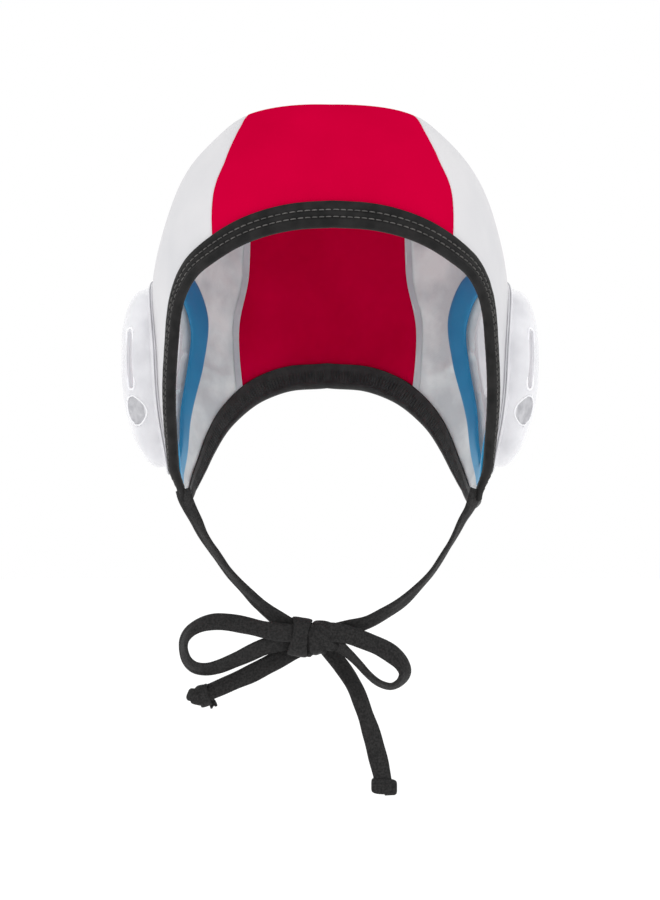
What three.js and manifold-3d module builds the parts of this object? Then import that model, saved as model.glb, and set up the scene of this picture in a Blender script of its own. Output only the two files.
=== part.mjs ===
// Water polo cap: three cloth panels, two bound edges, clear ear guards over soft rings, and a tied bow.
// Millimetres, +Z up, the face opening towards -Y. The origin is where the crown of a head touches the cloth.
// Left and right are as seen from the front, so left is -X.
import * as THREE from "three";
import { mergeVertices } from "three/addons/utils/BufferGeometryUtils.js";
import Module from "manifold-3d";

const wasm = await Module();
wasm.setup();

// Cap: outside sizes of the cloth
const CAP_HALF_WIDTH = 80;
const CAP_FRONT_REACH = 95;
const CAP_BACK_REACH = 94;
const CAP_DEPTH = 181;
const CLOTH_WALL = 1.2;
const PIECE_GAP = 0.3;

// Corners of the plan outline: 2 is an ellipse, more is squarer
const FRONT_SQUARENESS = 2.6;
const BACK_SQUARENESS = 2;

// Swell of the cloth over the ears
const EAR_SWELL = 3.5;
const EAR_SWELL_HEIGHT = 90;
const EAR_SWELL_LENGTH = 84;
const EAR_SWELL_ABOVE_EAR = 16.5;

// Ear hole, and what covers it from outside and inside
const EAR_BACK = 9.5;
const EAR_HOLE_HEIGHT = 77;
const EAR_HOLE_LENGTH = 62;
const GUARD_OVERLAP = 7;
const GUARD_ABOVE_CORNER = 9;
const GUARD_WALL = 1.8;
const GUARD_FLANGE = 3;
const GUARD_RISE = 13;
const GUARD_SQUARENESS = 2.8;
const GUARD_SLOT_LENGTH = 28;
const GUARD_SLOT_WIDTH = 4.2;
const GUARD_SLOT_SPACING = 29.5;
const GUARD_SLOT_UP = 8;
const GUARD_SLOT_SPLAY = 1.3;
const GUARD_SLOT_LEAN = 7;
const GUARD_DIMPLE_RADIUS = 7;
const GUARD_DIMPLE_DEPTH = 0.9;
const GUARD_DIMPLE_DROP = 14.5;
const GUARD_DIMPLE_SPACING = 28.5;
const RING_MARGIN = 3;
const RING_WIDTH = 10.5;
const RING_WALL = 2.2;

// Bindings folded over the cloth edges
const BINDING_LEAF = 0.8;
const BINDING_SLACK = 0.6;
const FACE_BINDING_WIDTH = 12;
const FACE_BINDING_SIDE_WIDTH = 9;
const NAPE_BINDING_WIDTH = 12.5;
const NAPE_BINDING_END_WIDTH = 8;

// Tape ties and bow
const TAPE_WIDTH = 8.6;
const TAPE_WALL = 1.9;
const KNOT_WIDTH = 24;
const KNOT_HEIGHT = 16;
const KNOT_THICKNESS = 10;
const TAIL_KNOT_LENGTH = 13;
const TAIL_KNOT_HEIGHT = 9;
const TAIL_KNOT_THICKNESS = 7;
const TAIL_FOLD_WIDTH = 12;
const TAIL_FOLD_HEIGHT = 7.5;
const TAIL_FOLD_THICKNESS = 4.4;
const TAIL_FOLD_CORNER = 1.9;
const KNOT_PINCH = 0.16;
const KNOT_PINCH_REACH = 0.3;

// Mesh fineness
const SEAM_STEPS = 24;
const FACE_CENTRE_STEPS = 5;
const FACE_SIDE_STEPS = 16;
const NAPE_CENTRE_STEPS = 5;
const NAPE_SIDE_STEPS = 12;
const PANEL_ROWS = 5;
const GUARD_STATIONS = 28;
const GUARD_ROWS = 5;
const RING_STATIONS = 28;
const TAPE_STEPS = 14;
const KNOT_SEGMENTS = 14;
const KNOT_ROWS = 8;
const DIMPLE_SEGMENTS = 14;
const SLOT_END_SEGMENTS = 4;
const FOLD_CORNER_SEGMENTS = 3;

// Fineness of the searches for points on the form and along its edges
const SEAT_HALVINGS = 44;
const SEAT_FAR = 3 * CAP_DEPTH;
const NORMAL_STEP = 0.5;
const LEAST_SHARE = 1e-9;
const EDGE_SEARCH_STEPS = 400;
const EAR_SEARCH_STEPS = 360;
const WELD_DISTANCE = 1e-4;

// Level sections of the cap. down is a share of CAP_DEPTH from the crown, wide of CAP_HALF_WIDTH,
// fore of CAP_FRONT_REACH and back of CAP_BACK_REACH.
const CAP_SECTIONS = [
  { down: 0.0, wide: 0.0, fore: 0.0, back: 0.0 },
  { down: 0.033, wide: 0.5, fore: 0.5, back: 0.52 },
  { down: 0.086, wide: 0.662, fore: 0.68, back: 0.69 },
  { down: 0.166, wide: 0.82, fore: 0.845, back: 0.86 },
  { down: 0.243, wide: 0.912, fore: 0.94, back: 0.95 },
  { down: 0.331, wide: 0.968, fore: 0.985, back: 0.99 },
  { down: 0.442, wide: 0.995, fore: 1.0, back: 1.0 },
  { down: 0.552, wide: 1.0, fore: 1.0, back: 1.0 },
  { down: 0.696, wide: 0.995, fore: 0.98, back: 0.965 },
  { down: 0.801, wide: 0.975, fore: 0.95, back: 0.925 },
  { down: 0.912, wide: 0.94, fore: 0.9, back: 0.88 },
  { down: 1.05, wide: 0.9, fore: 0.86, back: 0.84 },
];

// Edge of the face opening, from the middle of the forehead to the lower corner. across is a share of
// CAP_HALF_WIDTH, along of CAP_FRONT_REACH (ahead of the ears) and down of CAP_DEPTH.
const FACE_EDGE = [
  { across: 0.0, along: 0.98, down: 0.355 },
  { across: 0.22, along: 0.975, down: 0.361 },
  { across: 0.45, along: 0.941, down: 0.385 },
  { across: 0.656, along: 0.853, down: 0.43 },
  { across: 0.77, along: 0.76, down: 0.467 },
  { across: 0.835, along: 0.682, down: 0.514 },
  { across: 0.873, along: 0.634, down: 0.562 },
  { across: 0.891, along: 0.593, down: 0.637 },
  { across: 0.893, along: 0.5, down: 0.762 },
  { across: 0.886, along: 0.421, down: 0.864 },
  { across: 0.874, along: 0.324, down: 0.94 },
  { across: 0.855, along: 0.263, down: 1.0 },
];

// Edge at the nape, from the middle to the same corner; along is a share of CAP_BACK_REACH, behind the ears.
const NAPE_EDGE = [
  { across: 0.0, along: 0.96, down: 0.719 },
  { across: 0.222, along: 0.933, down: 0.727 },
  { across: 0.381, along: 0.868, down: 0.75 },
  { across: 0.487, along: 0.803, down: 0.779 },
  { across: 0.612, along: 0.69, down: 0.833 },
  { across: 0.691, along: 0.583, down: 0.89 },
  { across: 0.745, along: 0.479, down: 0.942 },
  { across: 0.79, along: 0.34, down: 0.985 },
  { across: 0.826, along: 0.16, down: 1.006 },
  { across: 0.85, along: -0.08, down: 1.006 },
  { across: 0.855, along: -0.266, down: 1.0 },
];

// Seam between the centre and side panels, from forehead to nape; along is a share of the mean reach,
// ahead of the ears where it is positive.
const SEAM_LINE = [
  { across: 0.725, along: 0.826, down: 0.352 },
  { across: 0.69, along: 0.8, down: 0.237 },
  { across: 0.612, along: 0.71, down: 0.166 },
  { across: 0.5, along: 0.4, down: 0.06 },
  { across: 0.469, along: 0.0, down: 0.03 },
  { across: 0.47, along: -0.45, down: 0.075 },
  { across: 0.49, along: -0.75, down: 0.2 },
  { across: 0.519, along: -0.87, down: 0.4 },
  { across: 0.581, along: -0.83, down: 0.56 },
  { across: 0.612, along: -0.74, down: 0.72 },
];

// Outline of the ear hole from the side: back and up are shares of its half length and half height.
const EAR_OUTLINE = [
  { back: 0.1, up: 1.0 },
  { back: 0.88, up: 0.94 },
  { back: 1.12, up: 0.6 },
  { back: 1.04, up: 0.16 },
  { back: 0.82, up: -0.22 },
  { back: 0.5, up: -0.6 },
  { back: 0.1, up: -0.88 },
  { back: -0.38, up: -1.0 },
  { back: -0.8, up: -0.76 },
  { back: -0.98, up: -0.28 },
  { back: -1.0, up: 0.25 },
  { back: -0.68, up: 0.8 },
];

// Routes of the tapes, chosen by hand. turn is the angle in degrees of the width out of the front plane.
const TIE_LEFT_ROUTE = [
  { x: -68.4, y: -26, z: -178, turn: 42 },
  { x: -67.2, y: -26, z: -182, turn: 42 },
  { x: -64.9, y: -25.5, z: -187.4, turn: 44 },
  { x: -62.2, y: -25, z: -192.8, turn: 52 },
  { x: -59.4, y: -25, z: -198.4, turn: 60 },
  { x: -56, y: -25, z: -203.9, turn: 66 },
  { x: -52.2, y: -25, z: -209.4, turn: 67 },
  { x: -48.2, y: -25, z: -214.9, turn: 67 },
  { x: -43.6, y: -25, z: -220.4, turn: 64 },
  { x: -38.2, y: -25, z: -226, turn: 58 },
  { x: -32.4, y: -25, z: -231.5, turn: 52 },
  { x: -25.6, y: -24.9, z: -237, turn: 38 },
  { x: -18.2, y: -25.4, z: -241.4, turn: 18 },
  { x: -10, y: -26.2, z: -244.2, turn: 8 },
];
const TIE_RIGHT_ROUTE = [
  { x: 67.6, y: -26, z: -178, turn: -46 },
  { x: 66.2, y: -26, z: -182, turn: -50 },
  { x: 64, y: -25.5, z: -187.4, turn: -60 },
  { x: 60.8, y: -25, z: -192.8, turn: -68 },
  { x: 57.8, y: -25, z: -198.4, turn: -74 },
  { x: 54.8, y: -25, z: -203.9, turn: -78 },
  { x: 51.4, y: -25, z: -209.4, turn: -78 },
  { x: 47.7, y: -25, z: -214.9, turn: -76 },
  { x: 43.3, y: -25, z: -220.4, turn: -72 },
  { x: 37.8, y: -25, z: -226, turn: -64 },
  { x: 31.4, y: -24.6, z: -231.3, turn: -56 },
  { x: 24.4, y: -24, z: -235.8, turn: -50 },
  { x: 17.2, y: -24, z: -239.4, turn: -44 },
  { x: 8, y: -25, z: -242.2, turn: -34 },
  { x: 2, y: -26.6, z: -243.6, turn: -24 },
];
const LOOP_LEFT_ROUTE = [
  { x: -9, y: -30, z: -244.2, turn: 16 },
  { x: -16, y: -31.2, z: -243.9, turn: 18 },
  { x: -24.8, y: -32.3, z: -243, turn: 22 },
  { x: -31, y: -32.3, z: -242, turn: 26 },
  { x: -37.4, y: -32, z: -240.4, turn: 28 },
  { x: -45.5, y: -31.4, z: -238.8, turn: 32 },
  { x: -53.9, y: -30.8, z: -238.5, turn: 38 },
  { x: -60.2, y: -30.3, z: -239.9, turn: 46 },
  { x: -64.8, y: -29.9, z: -242.7, turn: 56 },
  { x: -67.4, y: -29.5, z: -246.4, turn: 64 },
  { x: -68, y: -29.2, z: -250.6, turn: 66 },
  { x: -66.6, y: -29, z: -256.4, turn: 60 },
  { x: -63.2, y: -29, z: -259.7, turn: 54 },
  { x: -57.9, y: -28.8, z: -260.7, turn: 48 },
  { x: -51, y: -28.6, z: -259.5, turn: 42 },
  { x: -43.6, y: -28.3, z: -256.4, turn: 36 },
  { x: -37, y: -28.1, z: -253.3, turn: 32 },
  { x: -30.8, y: -28, z: -250.6, turn: 28 },
  { x: -23.4, y: -27.9, z: -248.6, turn: 24 },
  { x: -16.5, y: -27.6, z: -247.4, turn: 20 },
  { x: -9, y: -27.2, z: -246.8, turn: 16 },
];
const LOOP_RIGHT_ROUTE = [
  { x: -3, y: -30, z: -243.4, turn: -6 },
  { x: 3, y: -31.4, z: -243.6, turn: -8 },
  { x: 9.2, y: -32, z: -245, turn: -8 },
  { x: 17, y: -32, z: -247.8, turn: -10 },
  { x: 23.4, y: -31.6, z: -250.6, turn: -14 },
  { x: 28.6, y: -31.2, z: -253.8, turn: -24 },
  { x: 32.6, y: -30.7, z: -257.8, turn: -38 },
  { x: 34.2, y: -30.2, z: -262.2, turn: -52 },
  { x: 32.3, y: -29.8, z: -266.4, turn: -64 },
  { x: 28, y: -29.5, z: -268.8, turn: -70 },
  { x: 22.6, y: -29.3, z: -267.4, turn: -72 },
  { x: 16.6, y: -29.2, z: -262.8, turn: -72 },
  { x: 11.4, y: -29.4, z: -257.2, turn: -70 },
  { x: 7.2, y: -29.2, z: -252.9, turn: -62 },
  { x: 2.8, y: -27.9, z: -249.4, turn: -44 },
];
const TAIL_LEFT_ROUTE = [
  { x: -8, y: -24.2, z: -247.8, turn: 14 },
  { x: -13, y: -23.2, z: -250.4, turn: 18 },
  { x: -21, y: -23.2, z: -254.6, turn: 20 },
  { x: -28.5, y: -23.9, z: -258.6, turn: 22 },
  { x: -36.4, y: -24.8, z: -262.6, turn: 24 },
  { x: -43.3, y: -25.3, z: -265.7, turn: 27 },
  { x: -50.2, y: -25.8, z: -268.7, turn: 31 },
  { x: -55.7, y: -26, z: -270.9, turn: 35 },
  { x: -59.5, y: -26, z: -272.4, turn: 36 },
];
const TAIL_RIGHT_ROUTE = [
  { x: -3, y: -25, z: -248.6, turn: -8 },
  { x: -0.6, y: -23.2, z: -252, turn: -14 },
  { x: 1.6, y: -22.4, z: -255, turn: -22 },
  { x: 4.4, y: -22.2, z: -258.6, turn: -32 },
  { x: 7.2, y: -22.6, z: -262.4, turn: -38 },
  { x: 9.9, y: -23.2, z: -266.8, turn: -40 },
  { x: 12.3, y: -24.3, z: -271.4, turn: -36 },
  { x: 14.4, y: -24.8, z: -276.8, turn: -32 },
  { x: 16.2, y: -25, z: -282.2, turn: -28 },
  { x: 18, y: -25, z: -287.8, turn: -20 },
  { x: 19.7, y: -25, z: -293.5, turn: -12 },
  { x: 21.2, y: -25, z: -299.5, turn: -8 },
  { x: 22.7, y: -25, z: -305.5, turn: -10 },
  { x: 24, y: -25, z: -311.5, turn: -12 },
  { x: 24.4, y: -25, z: -314.5, turn: -12 },
];
const KNOT_CENTRE = new THREE.Vector3(-6.3, -28, -246);
const TAIL_KNOT_CENTRE = new THREE.Vector3(-59.9, -26, -272.9);
const TAIL_FOLD_CENTRE = new THREE.Vector3(24.6, -25, -315);

// Levels that follow from the sizes
const CROWN_TOP = CLOTH_WALL;
const EAR_DROP = CAP_DEPTH - GUARD_ABOVE_CORNER - GUARD_OVERLAP - EAR_HOLE_HEIGHT / 2;
const EAR_SWELL_DROP = EAR_DROP - EAR_SWELL_ABOVE_EAR;
const CORE_DROP_SHARE = 0.53;
const CORE = new THREE.Vector3(0, 0, CROWN_TOP - CAP_DEPTH * CORE_DROP_SHARE);
const CLOTH_INSET = BINDING_LEAF + BINDING_SLACK;
const LEAF_OUT = BINDING_SLACK + BINDING_LEAF;
const LEAF_IN = -(CLOTH_WALL + BINDING_SLACK + BINDING_LEAF);
const RING_FACE = LEAF_IN - PIECE_GAP;

// A smooth value through the rows of a table, read in one column by another.
function smoothThrough(rows, key, column, value) {
  const last = rows.length - 1;
  let i = 0;
  while (i < last - 1 && rows[i + 1][key] < value) i += 1;
  const at = (k) => rows[Math.min(last, Math.max(0, k))];
  const slope = (k) => {
    const before = at(k - 1);
    const after = at(k + 1);
    return (after[column] - before[column]) / (after[key] - before[key]);
  };
  const span = rows[i + 1][key] - rows[i][key];
  const t = (value - rows[i][key]) / span;
  const rise = t * t * (3 - 2 * t);
  const start = slope(i) * span * t * (1 - t) * (1 - t);
  const end = slope(i + 1) * span * t * t * (t - 1);
  return rows[i][column] * (1 - rise) + rows[i + 1][column] * rise + start + end;
}

// The sections squared, since a dome's width grows as the root of its depth.
const SQUARED_SECTIONS = CAP_SECTIONS.map((row) => ({
  down: row.down,
  wide: row.wide ** 2,
  fore: row.fore ** 2,
  back: row.back ** 2,
}));

function sectionShare(column, down) {
  return Math.sqrt(Math.max(LEAST_SHARE, smoothThrough(SQUARED_SECTIONS, "down", column, down / CAP_DEPTH)));
}

function earSwell(y, down) {
  const aside = ((y - EAR_BACK) * 2) / EAR_SWELL_LENGTH;
  const level = ((down - EAR_SWELL_DROP) * 2) / EAR_SWELL_HEIGHT;
  return EAR_SWELL * Math.exp(-(aside ** 4) - level ** 4);
}

// Negative inside the cap's outer form and positive outside.
function outsideness(x, y, z) {
  const down = CROWN_TOP - z;
  if (down <= 0) return 1;
  const width = CAP_HALF_WIDTH * sectionShare("wide", down) + earSwell(y, down);
  const ahead = y < 0;
  const reach = ahead
    ? CAP_FRONT_REACH * sectionShare("fore", down)
    : CAP_BACK_REACH * sectionShare("back", down);
  const power = ahead ? FRONT_SQUARENESS : BACK_SQUARENESS;
  return Math.abs(x / width) ** power + Math.abs(y / reach) ** power - 1;
}

// The point of the outer form on the ray from the core through a given point.
function seat(point) {
  const ray = point.clone().sub(CORE).normalize();
  let low = 1;
  let high = SEAT_FAR;
  for (let i = 0; i < SEAT_HALVINGS; i += 1) {
    const reach = (low + high) / 2;
    const p = ray.clone().multiplyScalar(reach).add(CORE);
    if (outsideness(p.x, p.y, p.z) < 0) low = reach;
    else high = reach;
  }
  return ray.multiplyScalar(low).add(CORE);
}

function seatNormal(point) {
  const ray = point.clone().sub(CORE).normalize();
  const helper = Math.abs(ray.z) < 0.8 ? new THREE.Vector3(0, 0, 1) : new THREE.Vector3(0, 1, 0);
  const side = helper.cross(ray).normalize().multiplyScalar(NORMAL_STEP);
  const rise = ray.clone().cross(side);
  const across = seat(point.clone().add(side)).sub(seat(point.clone().sub(side)));
  const along = seat(point.clone().add(rise)).sub(seat(point.clone().sub(rise)));
  return across.cross(along).normalize();
}

// A point lifted off the outer form; a negative lift goes into the cloth and through it.
function lifted(point, lift) {
  const base = seat(point);
  return seatNormal(base).multiplyScalar(lift).add(base);
}

function tableCurve(rows, forward) {
  const points = rows.map((row) => {
    const reach = forward(row.along);
    return seat(
      new THREE.Vector3(CAP_HALF_WIDTH * row.across, reach, CROWN_TOP - CAP_DEPTH * row.down),
    );
  });
  return new THREE.CatmullRomCurve3(points, false, "centripetal");
}

const MEAN_REACH = (CAP_FRONT_REACH + CAP_BACK_REACH) / 2;
const faceEdge = tableCurve(FACE_EDGE, (share) => -CAP_FRONT_REACH * share);
const napeEdge = tableCurve(NAPE_EDGE, (share) => CAP_BACK_REACH * share);
const seamRoute = tableCurve(SEAM_LINE, (share) => -MEAN_REACH * share).points;

// How far along an edge curve the seam meets it.
function crossing(curve, point) {
  let best = 0;
  let least = Infinity;
  spread(0, 1, EDGE_SEARCH_STEPS).forEach((share) => {
    const distance = curve.getPointAt(share).distanceTo(point);
    if (distance < least) {
      least = distance;
      best = share;
    }
  });
  return best;
}

const FACE_SEAM_AT = crossing(faceEdge, seamRoute[0]);
const NAPE_SEAM_AT = crossing(napeEdge, seamRoute.at(-1));

// A station on an edge: the point on the form, the way along the edge and the way into the cloth.
function edgeStation(curve, share, turn) {
  const point = seat(curve.getPointAt(share));
  const along = curve.getTangentAt(share);
  if (share === 0) along.set(1, 0, 0);
  const inward = seatNormal(point).cross(along).multiplyScalar(turn).normalize();
  return { point, inward };
}

const FACE_TURN = 1;
const NAPE_TURN = -1;

function insetPoint(station, distance) {
  return seat(station.inward.clone().multiplyScalar(distance).add(station.point));
}

function spread(from, to, steps) {
  return Array.from({ length: steps + 1 }, (_, i) => THREE.MathUtils.lerp(from, to, i / steps));
}

const faceCentre = spread(0, FACE_SEAM_AT, FACE_CENTRE_STEPS).map((s) => edgeStation(faceEdge, s, FACE_TURN));
const faceSide = spread(FACE_SEAM_AT, 1, FACE_SIDE_STEPS).map((s) => edgeStation(faceEdge, s, FACE_TURN));
const napeCentre = spread(0, NAPE_SEAM_AT, NAPE_CENTRE_STEPS).map((s) => edgeStation(napeEdge, s, NAPE_TURN));
const napeSide = spread(NAPE_SEAM_AT, 1, NAPE_SIDE_STEPS).map((s) => edgeStation(napeEdge, s, NAPE_TURN));

// One closed body from rings of points. An open row of rings gets a cap at each end, laid as a strip
// between the first and second half of the ring.
function skin(rings, closed) {
  const width = rings[0].length;
  const positions = rings.flat().flatMap((p) => [p.x, p.y, p.z]);
  const index = [];
  const count = closed ? rings.length : rings.length - 1;
  for (let i = 0; i < count; i += 1) {
    const here = i * width;
    const next = ((i + 1) % rings.length) * width;
    for (let j = 0; j < width; j += 1) {
      const k = (j + 1) % width;
      index.push(here + j, next + j, next + k, here + j, next + k, here + k);
    }
  }
  const end = (rings.length - 1) * width;
  for (let j = 0; !closed && j < width / 2 - 1; j += 1) {
    const far = width - 1 - j;
    index.push(j, j + 1, far - 1, j, far - 1, far);
    index.push(end + j, end + far - 1, end + j + 1, end + j, end + far, end + far - 1);
  }
  const geometry = new THREE.BufferGeometry();
  geometry.setAttribute("position", new THREE.Float32BufferAttribute(positions, 3));
  geometry.setIndex(index);
  return facedOut(merged(geometry));
}

function merged(geometry) {
  const bare = geometry.clone();
  bare.deleteAttribute("normal");
  bare.deleteAttribute("uv");
  const welded = mergeVertices(bare, WELD_DISTANCE);
  const kept = [];
  const source = welded.index.array;
  for (let i = 0; i < source.length; i += 3) {
    const [a, b, c] = [source[i], source[i + 1], source[i + 2]];
    if (a !== b && b !== c && a !== c) kept.push(a, b, c);
  }
  welded.setIndex(kept);
  return welded;
}

function solidOf(geometry) {
  const welded = merged(geometry);
  return new wasm.Manifold(
    new wasm.Mesh({
      numProp: 3,
      vertProperties: welded.attributes.position.array,
      triVerts: new Uint32Array(welded.index.array),
    }),
  );
}

function geometryOf(solid) {
  const mesh = solid.getMesh();
  const geometry = new THREE.BufferGeometry();
  geometry.setAttribute("position", new THREE.BufferAttribute(new Float32Array(mesh.vertProperties), 3));
  geometry.setIndex(new THREE.BufferAttribute(new Uint32Array(mesh.triVerts), 1));
  return geometry;
}

function reversed(geometry) {
  const turned = geometry.clone();
  const index = turned.index.array;
  for (let i = 0; i < index.length; i += 3) [index[i + 1], index[i + 2]] = [index[i + 2], index[i + 1]];
  return turned;
}

function facedOut(geometry) {
  return solidOf(geometry).volume() < 0 ? reversed(geometry) : geometry;
}

function mirrored(geometry) {
  return reversed(merged(geometry).applyMatrix4(new THREE.Matrix4().makeScale(-1, 1, 1)));
}

// The largest body that is left of one piece when others are cut from it.
function cutBy(geometry, ...cutters) {
  let solid = solidOf(geometry);
  cutters.forEach((cutter) => {
    solid = solid.subtract(solidOf(cutter));
  });
  const bodies = solid.decompose();
  bodies.sort((a, b) => b.volume() - a.volume());
  return geometryOf(bodies[0]);
}

// Cloth panels

// The seam runs between the two cloth edges, where they sit in their bindings.
const seamLine = new THREE.CatmullRomCurve3(
  [insetPoint(faceSide[0], CLOTH_INSET), ...seamRoute.slice(1, -1), insetPoint(napeSide[0], CLOTH_INSET)],
  false,
  "centripetal",
);

function seamPoint(share, aside) {
  const point = seamLine.getPoint(share);
  point.x += aside;
  return seat(point);
}

// The centre panel's right half is a patch between the middle line, the seam and the two edges.
function centrePatch(across, along) {
  const faceRow = faceCentre.map((station) => insetPoint(station, CLOTH_INSET));
  const napeRow = napeCentre.map((station) => insetPoint(station, CLOTH_INSET));
  const pick = (row, share) => new THREE.CatmullRomCurve3(row).getPoint(share);
  const front = faceRow[0];
  const rear = napeRow[0];
  const startAngle = Math.atan2(front.z - CORE.z, front.y);
  const endAngle = Math.atan2(rear.z - CORE.z, rear.y);
  const angle = startAngle + (endAngle - startAngle) * along;
  const middle = seat(new THREE.Vector3(0, Math.cos(angle), Math.sin(angle)).add(CORE));
  const seam = seamPoint(along, -PIECE_GAP / 2);
  const result = middle.clone().lerp(seam, across);
  const ends = [
    [pick(faceRow, across), front.clone().lerp(faceRow.at(-1), across), 1 - along],
    [pick(napeRow, across), rear.clone().lerp(napeRow.at(-1), across), along],
  ];
  ends.forEach(([wanted, straight, weight]) => {
    result.add(wanted.clone().sub(straight).multiplyScalar(weight));
  });
  return result;
}

function centrePanel() {
  const shares = spread(-1, 1, 2 * FACE_CENTRE_STEPS);
  const rings = spread(0, 1, SEAM_STEPS).map((along) => {
    const line = shares.map((share) => {
      const point = centrePatch(Math.abs(share), along);
      point.x *= Math.sign(share);
      return point;
    });
    return [...line.map((p) => lifted(p, 0)), ...line.reverse().map((p) => lifted(p, -CLOTH_WALL))];
  });
  return skin(rings, false);
}

// The ear outline grown by a margin, at an angle round the middle of the ear.
const earCurve = new THREE.CatmullRomCurve3(
  EAR_OUTLINE.map((row) => new THREE.Vector3(0, row.back, row.up)),
  true,
);

function earPoint(share, margin, inset = 1) {
  const p = earCurve.getPointAt(share);
  const back = EAR_BACK + p.y * (EAR_HOLE_LENGTH / 2 + margin) * inset;
  const up = p.z * (EAR_HOLE_HEIGHT / 2 + margin) * inset;
  return sidePoint(back, CROWN_TOP - EAR_DROP + up);
}

// The point of the outer form beside the head at a place given from the side.
function sidePoint(y, z) {
  const down = CROWN_TOP - z;
  const ahead = y < 0;
  const reach = ahead
    ? CAP_FRONT_REACH * sectionShare("fore", down)
    : CAP_BACK_REACH * sectionShare("back", down);
  const power = ahead ? FRONT_SQUARENESS : BACK_SQUARENESS;
  const width = CAP_HALF_WIDTH * sectionShare("wide", down) + earSwell(y, down);
  return new THREE.Vector3(width * (1 - Math.abs(y / reach) ** power) ** (1 / power), y, z);
}

function bearing(point) {
  return Math.atan2(point.z - (CROWN_TOP - EAR_DROP), point.y - EAR_BACK);
}

// The share of the ear outline that lies in the same direction from the ear as a point of the panel's edge.
function earShareTowards(point) {
  const wanted = bearing(point);
  let best = 0;
  let least = Infinity;
  spread(0, 1, EAR_SEARCH_STEPS).forEach((share) => {
    const turn = bearing(earPoint(share, 0)) - wanted;
    const off = Math.abs(Math.atan2(Math.sin(turn), Math.cos(turn)));
    if (off < least) {
      least = off;
      best = share;
    }
  });
  return best;
}

function sidePanelRight() {
  const inset = (station) => insetPoint(station, CLOTH_INSET);
  const seam = spread(0, 1, SEAM_STEPS).map((share) => seamPoint(share, PIECE_GAP / 2));
  const corner = inset(faceSide.at(-1)).lerp(inset(napeSide.at(-1)), 0.5);
  const loop = [
    ...seam,
    ...napeSide.slice(1, -1).map(inset),
    corner,
    ...faceSide.slice(1, -1).map(inset).reverse(),
  ];
  const rings = loop.map((outer) => {
    const inner = earPoint(earShareTowards(outer), 0);
    const line = spread(0, 1, PANEL_ROWS).map((share) => outer.clone().lerp(inner, share));
    return [...line.map((p) => lifted(p, 0)), ...line.reverse().map((p) => lifted(p, -CLOTH_WALL))];
  });
  return skin(rings, true);
}

// Bindings: a leaf outside and a leaf inside the cloth, joined by a fold round its edge

function bindingSection(width) {
  const half = width / 2;
  const fold = BINDING_LEAF / 2;
  return [
    [width, LEAF_OUT],
    [half, LEAF_OUT],
    [fold, LEAF_OUT],
    [0, LEAF_OUT - fold],
    [0, LEAF_IN + fold],
    [fold, LEAF_IN],
    [half, LEAF_IN],
    [width, LEAF_IN],
    [width, LEAF_IN + BINDING_LEAF],
    [half, LEAF_IN + BINDING_LEAF],
    [BINDING_LEAF, LEAF_IN + BINDING_LEAF],
    [BINDING_LEAF, BINDING_SLACK],
    [half, BINDING_SLACK],
    [width, BINDING_SLACK],
  ];
}

// The same band as one block, a little larger all round, to cut its neighbours clear of it.
function blockSection(width) {
  const far = width + PIECE_GAP;
  const half = width / 2;
  return [
    [far, LEAF_OUT + PIECE_GAP],
    [half, LEAF_OUT + PIECE_GAP],
    [-PIECE_GAP, LEAF_OUT + PIECE_GAP],
    [-PIECE_GAP, LEAF_IN - PIECE_GAP],
    [half, LEAF_IN - PIECE_GAP],
    [far, LEAF_IN - PIECE_GAP],
  ];
}

// A band's width falls off on each side of its middle, between two shares of the way to its end.
function easedWidth(middle, end, from, to) {
  return (aside) => THREE.MathUtils.lerp(middle, end, THREE.MathUtils.smoothstep(aside, from, to));
}

function band(stations, steps, widthAt, sectionOf) {
  const middle = (stations.length - 1) / 2;
  const rings = stations.map((station, i) =>
    sectionOf(widthAt(Math.abs(i - middle) / steps)).map(([inward, lift]) => {
      const point = station.inward.clone().multiplyScalar(inward).add(station.point);
      return lifted(point, lift);
    }),
  );
  return skin(rings, false);
}

function mirroredStation(station) {
  const flip = new THREE.Vector3(-1, 1, 1);
  return { point: station.point.clone().multiply(flip), inward: station.inward.clone().multiply(flip) };
}

function bothSides(centre, side) {
  const right = [...centre, ...side.slice(1)];
  const left = right.slice(1).reverse().map(mirroredStation);
  return [...left, ...right];
}

const FACE_STEPS = FACE_CENTRE_STEPS + FACE_SIDE_STEPS;
const NAPE_STEPS = NAPE_CENTRE_STEPS + NAPE_SIDE_STEPS;
const faceWidthAt = easedWidth(FACE_BINDING_WIDTH, FACE_BINDING_SIDE_WIDTH, 0, 0.5);
const napeWidthAt = easedWidth(NAPE_BINDING_WIDTH, NAPE_BINDING_END_WIDTH, 0.15, 0.75);

function faceBand(sectionOf) {
  return band(bothSides(faceCentre, faceSide), FACE_STEPS, faceWidthAt, sectionOf);
}

// The face binding as a block, run on past its ends by the gap.
function faceBlockBand() {
  const last = faceSide.at(-1);
  const onward = faceEdge.getTangentAt(1).multiplyScalar(PIECE_GAP);
  const end = { point: last.point.clone().add(onward), inward: last.inward };
  return band(bothSides(faceCentre, [...faceSide, end]), FACE_STEPS, faceWidthAt, blockSection);
}

function napeBand(sectionOf) {
  return band(bothSides(napeCentre, napeSide), NAPE_STEPS, napeWidthAt, sectionOf);
}

// Ear pieces

function earRingRight() {
  const inner = RING_MARGIN;
  const outer = RING_MARGIN + RING_WIDTH;
  const bevel = RING_WALL / 3;
  const middle = RING_FACE - RING_WALL / 2;
  const section = [
    [outer, middle],
    [outer - bevel, RING_FACE],
    [inner + bevel, RING_FACE],
    [inner, middle],
    [inner + bevel, RING_FACE - RING_WALL],
    [outer - bevel, RING_FACE - RING_WALL],
  ];
  const rings = spread(0, 1, RING_STATIONS)
    .slice(0, -1)
    .map((share) => section.map(([margin, lift]) => lifted(earPoint(share, margin), lift)));
  return skin(rings, true);
}

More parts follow.
